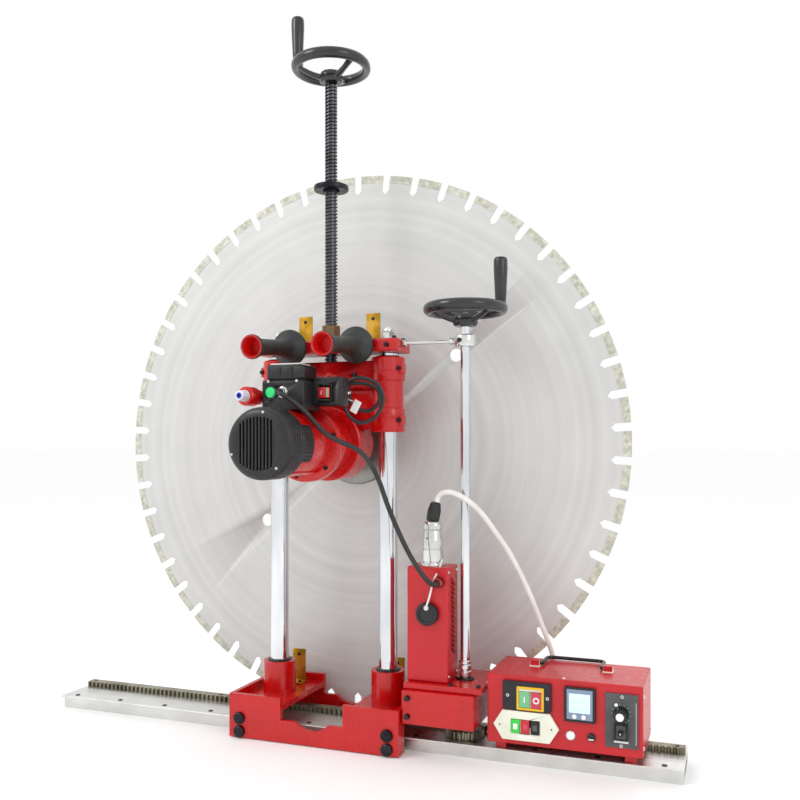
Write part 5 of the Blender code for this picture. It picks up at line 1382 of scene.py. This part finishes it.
def make_knob_panel():
    """The speed knob with its dial, and the toggle switch in its surround."""
    low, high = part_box("knob_plate")
    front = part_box("speed_knob")[1].y + 0.0003
    centre = middle("speed_knob")
    knob = mm((0, 15), (7.8, 15), (9.2, 14.4), (9.8, 13), (10.3, 6), (11.5, 3), (11.5, 0.3), (0, 0.3))
    turned("speed_knob_cap", knob, (centre.x, front, centre.z), FRONT, BUTTON_BLACK, 48, "speed_knob",
           "speed_knob")
    cap = mm((0, 15.6), (5.2, 15.6), (6, 15), (6, 14.6), (0, 14.6))
    turned("speed_knob_face", cap, (centre.x - 0.0004, front, centre.z - 0.0015), FRONT, WHITE_MARK, 40,
           "speed_knob", slot="button_black")
    teeth = [(place, out, FRONT) for place, out in
             around(20, 0.0099, (centre.x, front - 0.0090, centre.z))]
    repeat("speed_knob_grips", teeth, BUTTON_BLACK, "speed_knob", "button_black",
           block=(0.0100, 0.0013, 0.0012))
    ticks = []
    for k in range(11):
        angle = math.radians(27 * k - 90)
        out = Vector((math.cos(angle), 0, math.sin(angle)))
        at = Vector((centre.x, front - 0.00015, centre.z)) + out * 0.0138
        ticks.append((tuple(at), FRONT, tuple(out)))
    repeat("dial_ticks", ticks, WHITE_MARK, "rail", "panel_grey", block=(0.0018, 0.0004, 0.0003))
    screws = [((x, front - 0.0001, z), FRONT) for x, z in ((0.4817, 0.1258), (0.4802, 0.0520))]
    repeat("knob_plate_screws", screws, NICKEL, "rail", "polished", 0.0030, 0.0012, 24)
    # painted shade: small black discs on the screw heads stand for the shadow inside their recesses
    repeat("knob_plate_recess_shade", [((x, y - 0.0012, z), a) for (x, y, z), a in screws], BUTTON_BLACK, "rail",
           "panel_grey", 0.0013, 0.0001, 12)
    lamp = mm((0, 2.2), (1.8, 1.9), (2.5, 0.8), (2.5, -0.4), (0, -0.4))
    turned("run_lamp", lamp, (0.4728, front, 0.1128), FRONT, LENS, 28, "rail", slot="panel_white")
    lever_low, lever_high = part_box("toggle_lever")
    slab("toggle_paddle", lever_low, lever_high, 0.0010, BUTTON_BLACK, 3, "toggle_lever",
         "toggle_lever")
    dot = middle("toggle_lever")
    pip = mm((0, 0.4), (1, 0.4), (1.2, -0.4), (0, -0.4))
    turned("toggle_pip", pip, (dot.x, lever_low.y, dot.z), FRONT, WHITE_MARK, 20, "toggle_lever",
           slot="button_black")
    frame_box = frame_ring("toggle_surround", (dot.x - 0.0106, front - 0.0046, dot.z - 0.0132),
                           (dot.x + 0.0106, front + 0.0002, dot.z + 0.0132), 0.0035, 0.0008, BUTTON_BLACK)
    piece(frame_box, "rail", slot="button_black")
    slab("knob_plate_stripe", (high.x - 0.0034, front - 0.0003, low.z + 0.006), (high.x - 0.0026,
         front + 0.0004, high.z - 0.012), 0.0001, NICKEL, 1, "rail", slot="polished")
    slab("toggle_label", (dot.x - 0.0105, front - 0.0003, dot.z - 0.0172), (dot.x + 0.0105,
         front + 0.0004, dot.z - 0.0140), 0.0001, WHITE_MARK, 1, "rail", slot="panel_grey")


def make_bail():
    """The drop handle: a black bail that turns in two bright lugs."""
    bail_low, bail_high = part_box("box_handle")
    z = (bail_low.z + bail_high.z) / 2
    hinge_y = bail_low.y + 0.003
    back = bail_high.y - 0.003
    left, right = bail_low.x + 0.011, bail_high.x - 0.011
    route = [(bail_low.x + 0.0002, hinge_y), (left - 0.004, hinge_y), (left - 0.0012, hinge_y + 0.0012),
             (left, hinge_y + 0.004), (left, hinge_y + 0.020), (left, back - 0.012)]
    for k in range(1, 6):
        angle = math.pi - math.pi / 2 * k / 6
        route.append((left + 0.010 + 0.010 * math.cos(angle), back - 0.010 + 0.010 * math.sin(angle)))
    route += [(left + 0.012, back), ((left + right) / 2, back)]
    mirror = [(left + right - x, y) for x, y in reversed(route[:-1])]
    points = [(x, y, z) for x, y in route + mirror]
    piece(tube("box_handle_bail", points, 0.0030, BUTTON_BLACK, 20), "box_handle", "box_handle")
    for x, side, name in ((left, -1, "left"), (right, 1, "right")):
        slab("handle_lug_" + name, (x + side * 0.0110 - 0.0085, hinge_y - 0.0090, 0.1424),
             (x + side * 0.0110 + 0.0085, hinge_y + 0.0090, 0.1440), 0.0006, PANEL_WHITE, 2, "rail",
             slot="polished")
        barrel = mm((0, 7.5), (4.2, 7.5), (5, 6.8), (5, -6.8), (4.2, -7.5), (0, -7.5))
        turned("handle_lug_barrel_" + name, barrel, (x + side * 0.0110, hinge_y, 0.1468), RIGHT,
               PANEL_WHITE, 40, "rail", slot="polished")


def make_brackets():
    """Yellow-passivated angle brackets for the blade guard, each on two screws."""
    for end in ("left", "right"):
        for level in ("lower", "upper"):
            node = "%s_guard_bracket_%s" % (level, end)
            eased(node, 0.0006, ZINC, 2)
            low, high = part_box(node)
            x = (low.x + high.x) / 2
            feet = [((x + dx, low.y + 0.007, low.z + 0.0029), UP) for dx in (-0.007, 0.007)]
            socket_heads(node + "_screws", feet, "saddle", "zinc", 0.0028)
            # painted shade: a black disc on the bracket stands for the shadow inside its open bolt hole
            hole = mm((0, 0.3), (3.2, 0.3), (3.2, -1.2), (0, -1.2))
            turned(node + "_hole", hole, (x, high.y - 0.0030, high.z - 0.010), FRONT, BUTTON_BLACK, 28,
                   "saddle", slot="zinc")


make_stage()
make_rail()
make_saddle()
make_columns()
make_head()
make_feed_screw()
make_carriage()
make_motor()
make_blade()
make_switches()
make_water_port()
make_drive()
make_traverse_shaft()
make_connector_box()
make_control_box()
make_brackets()
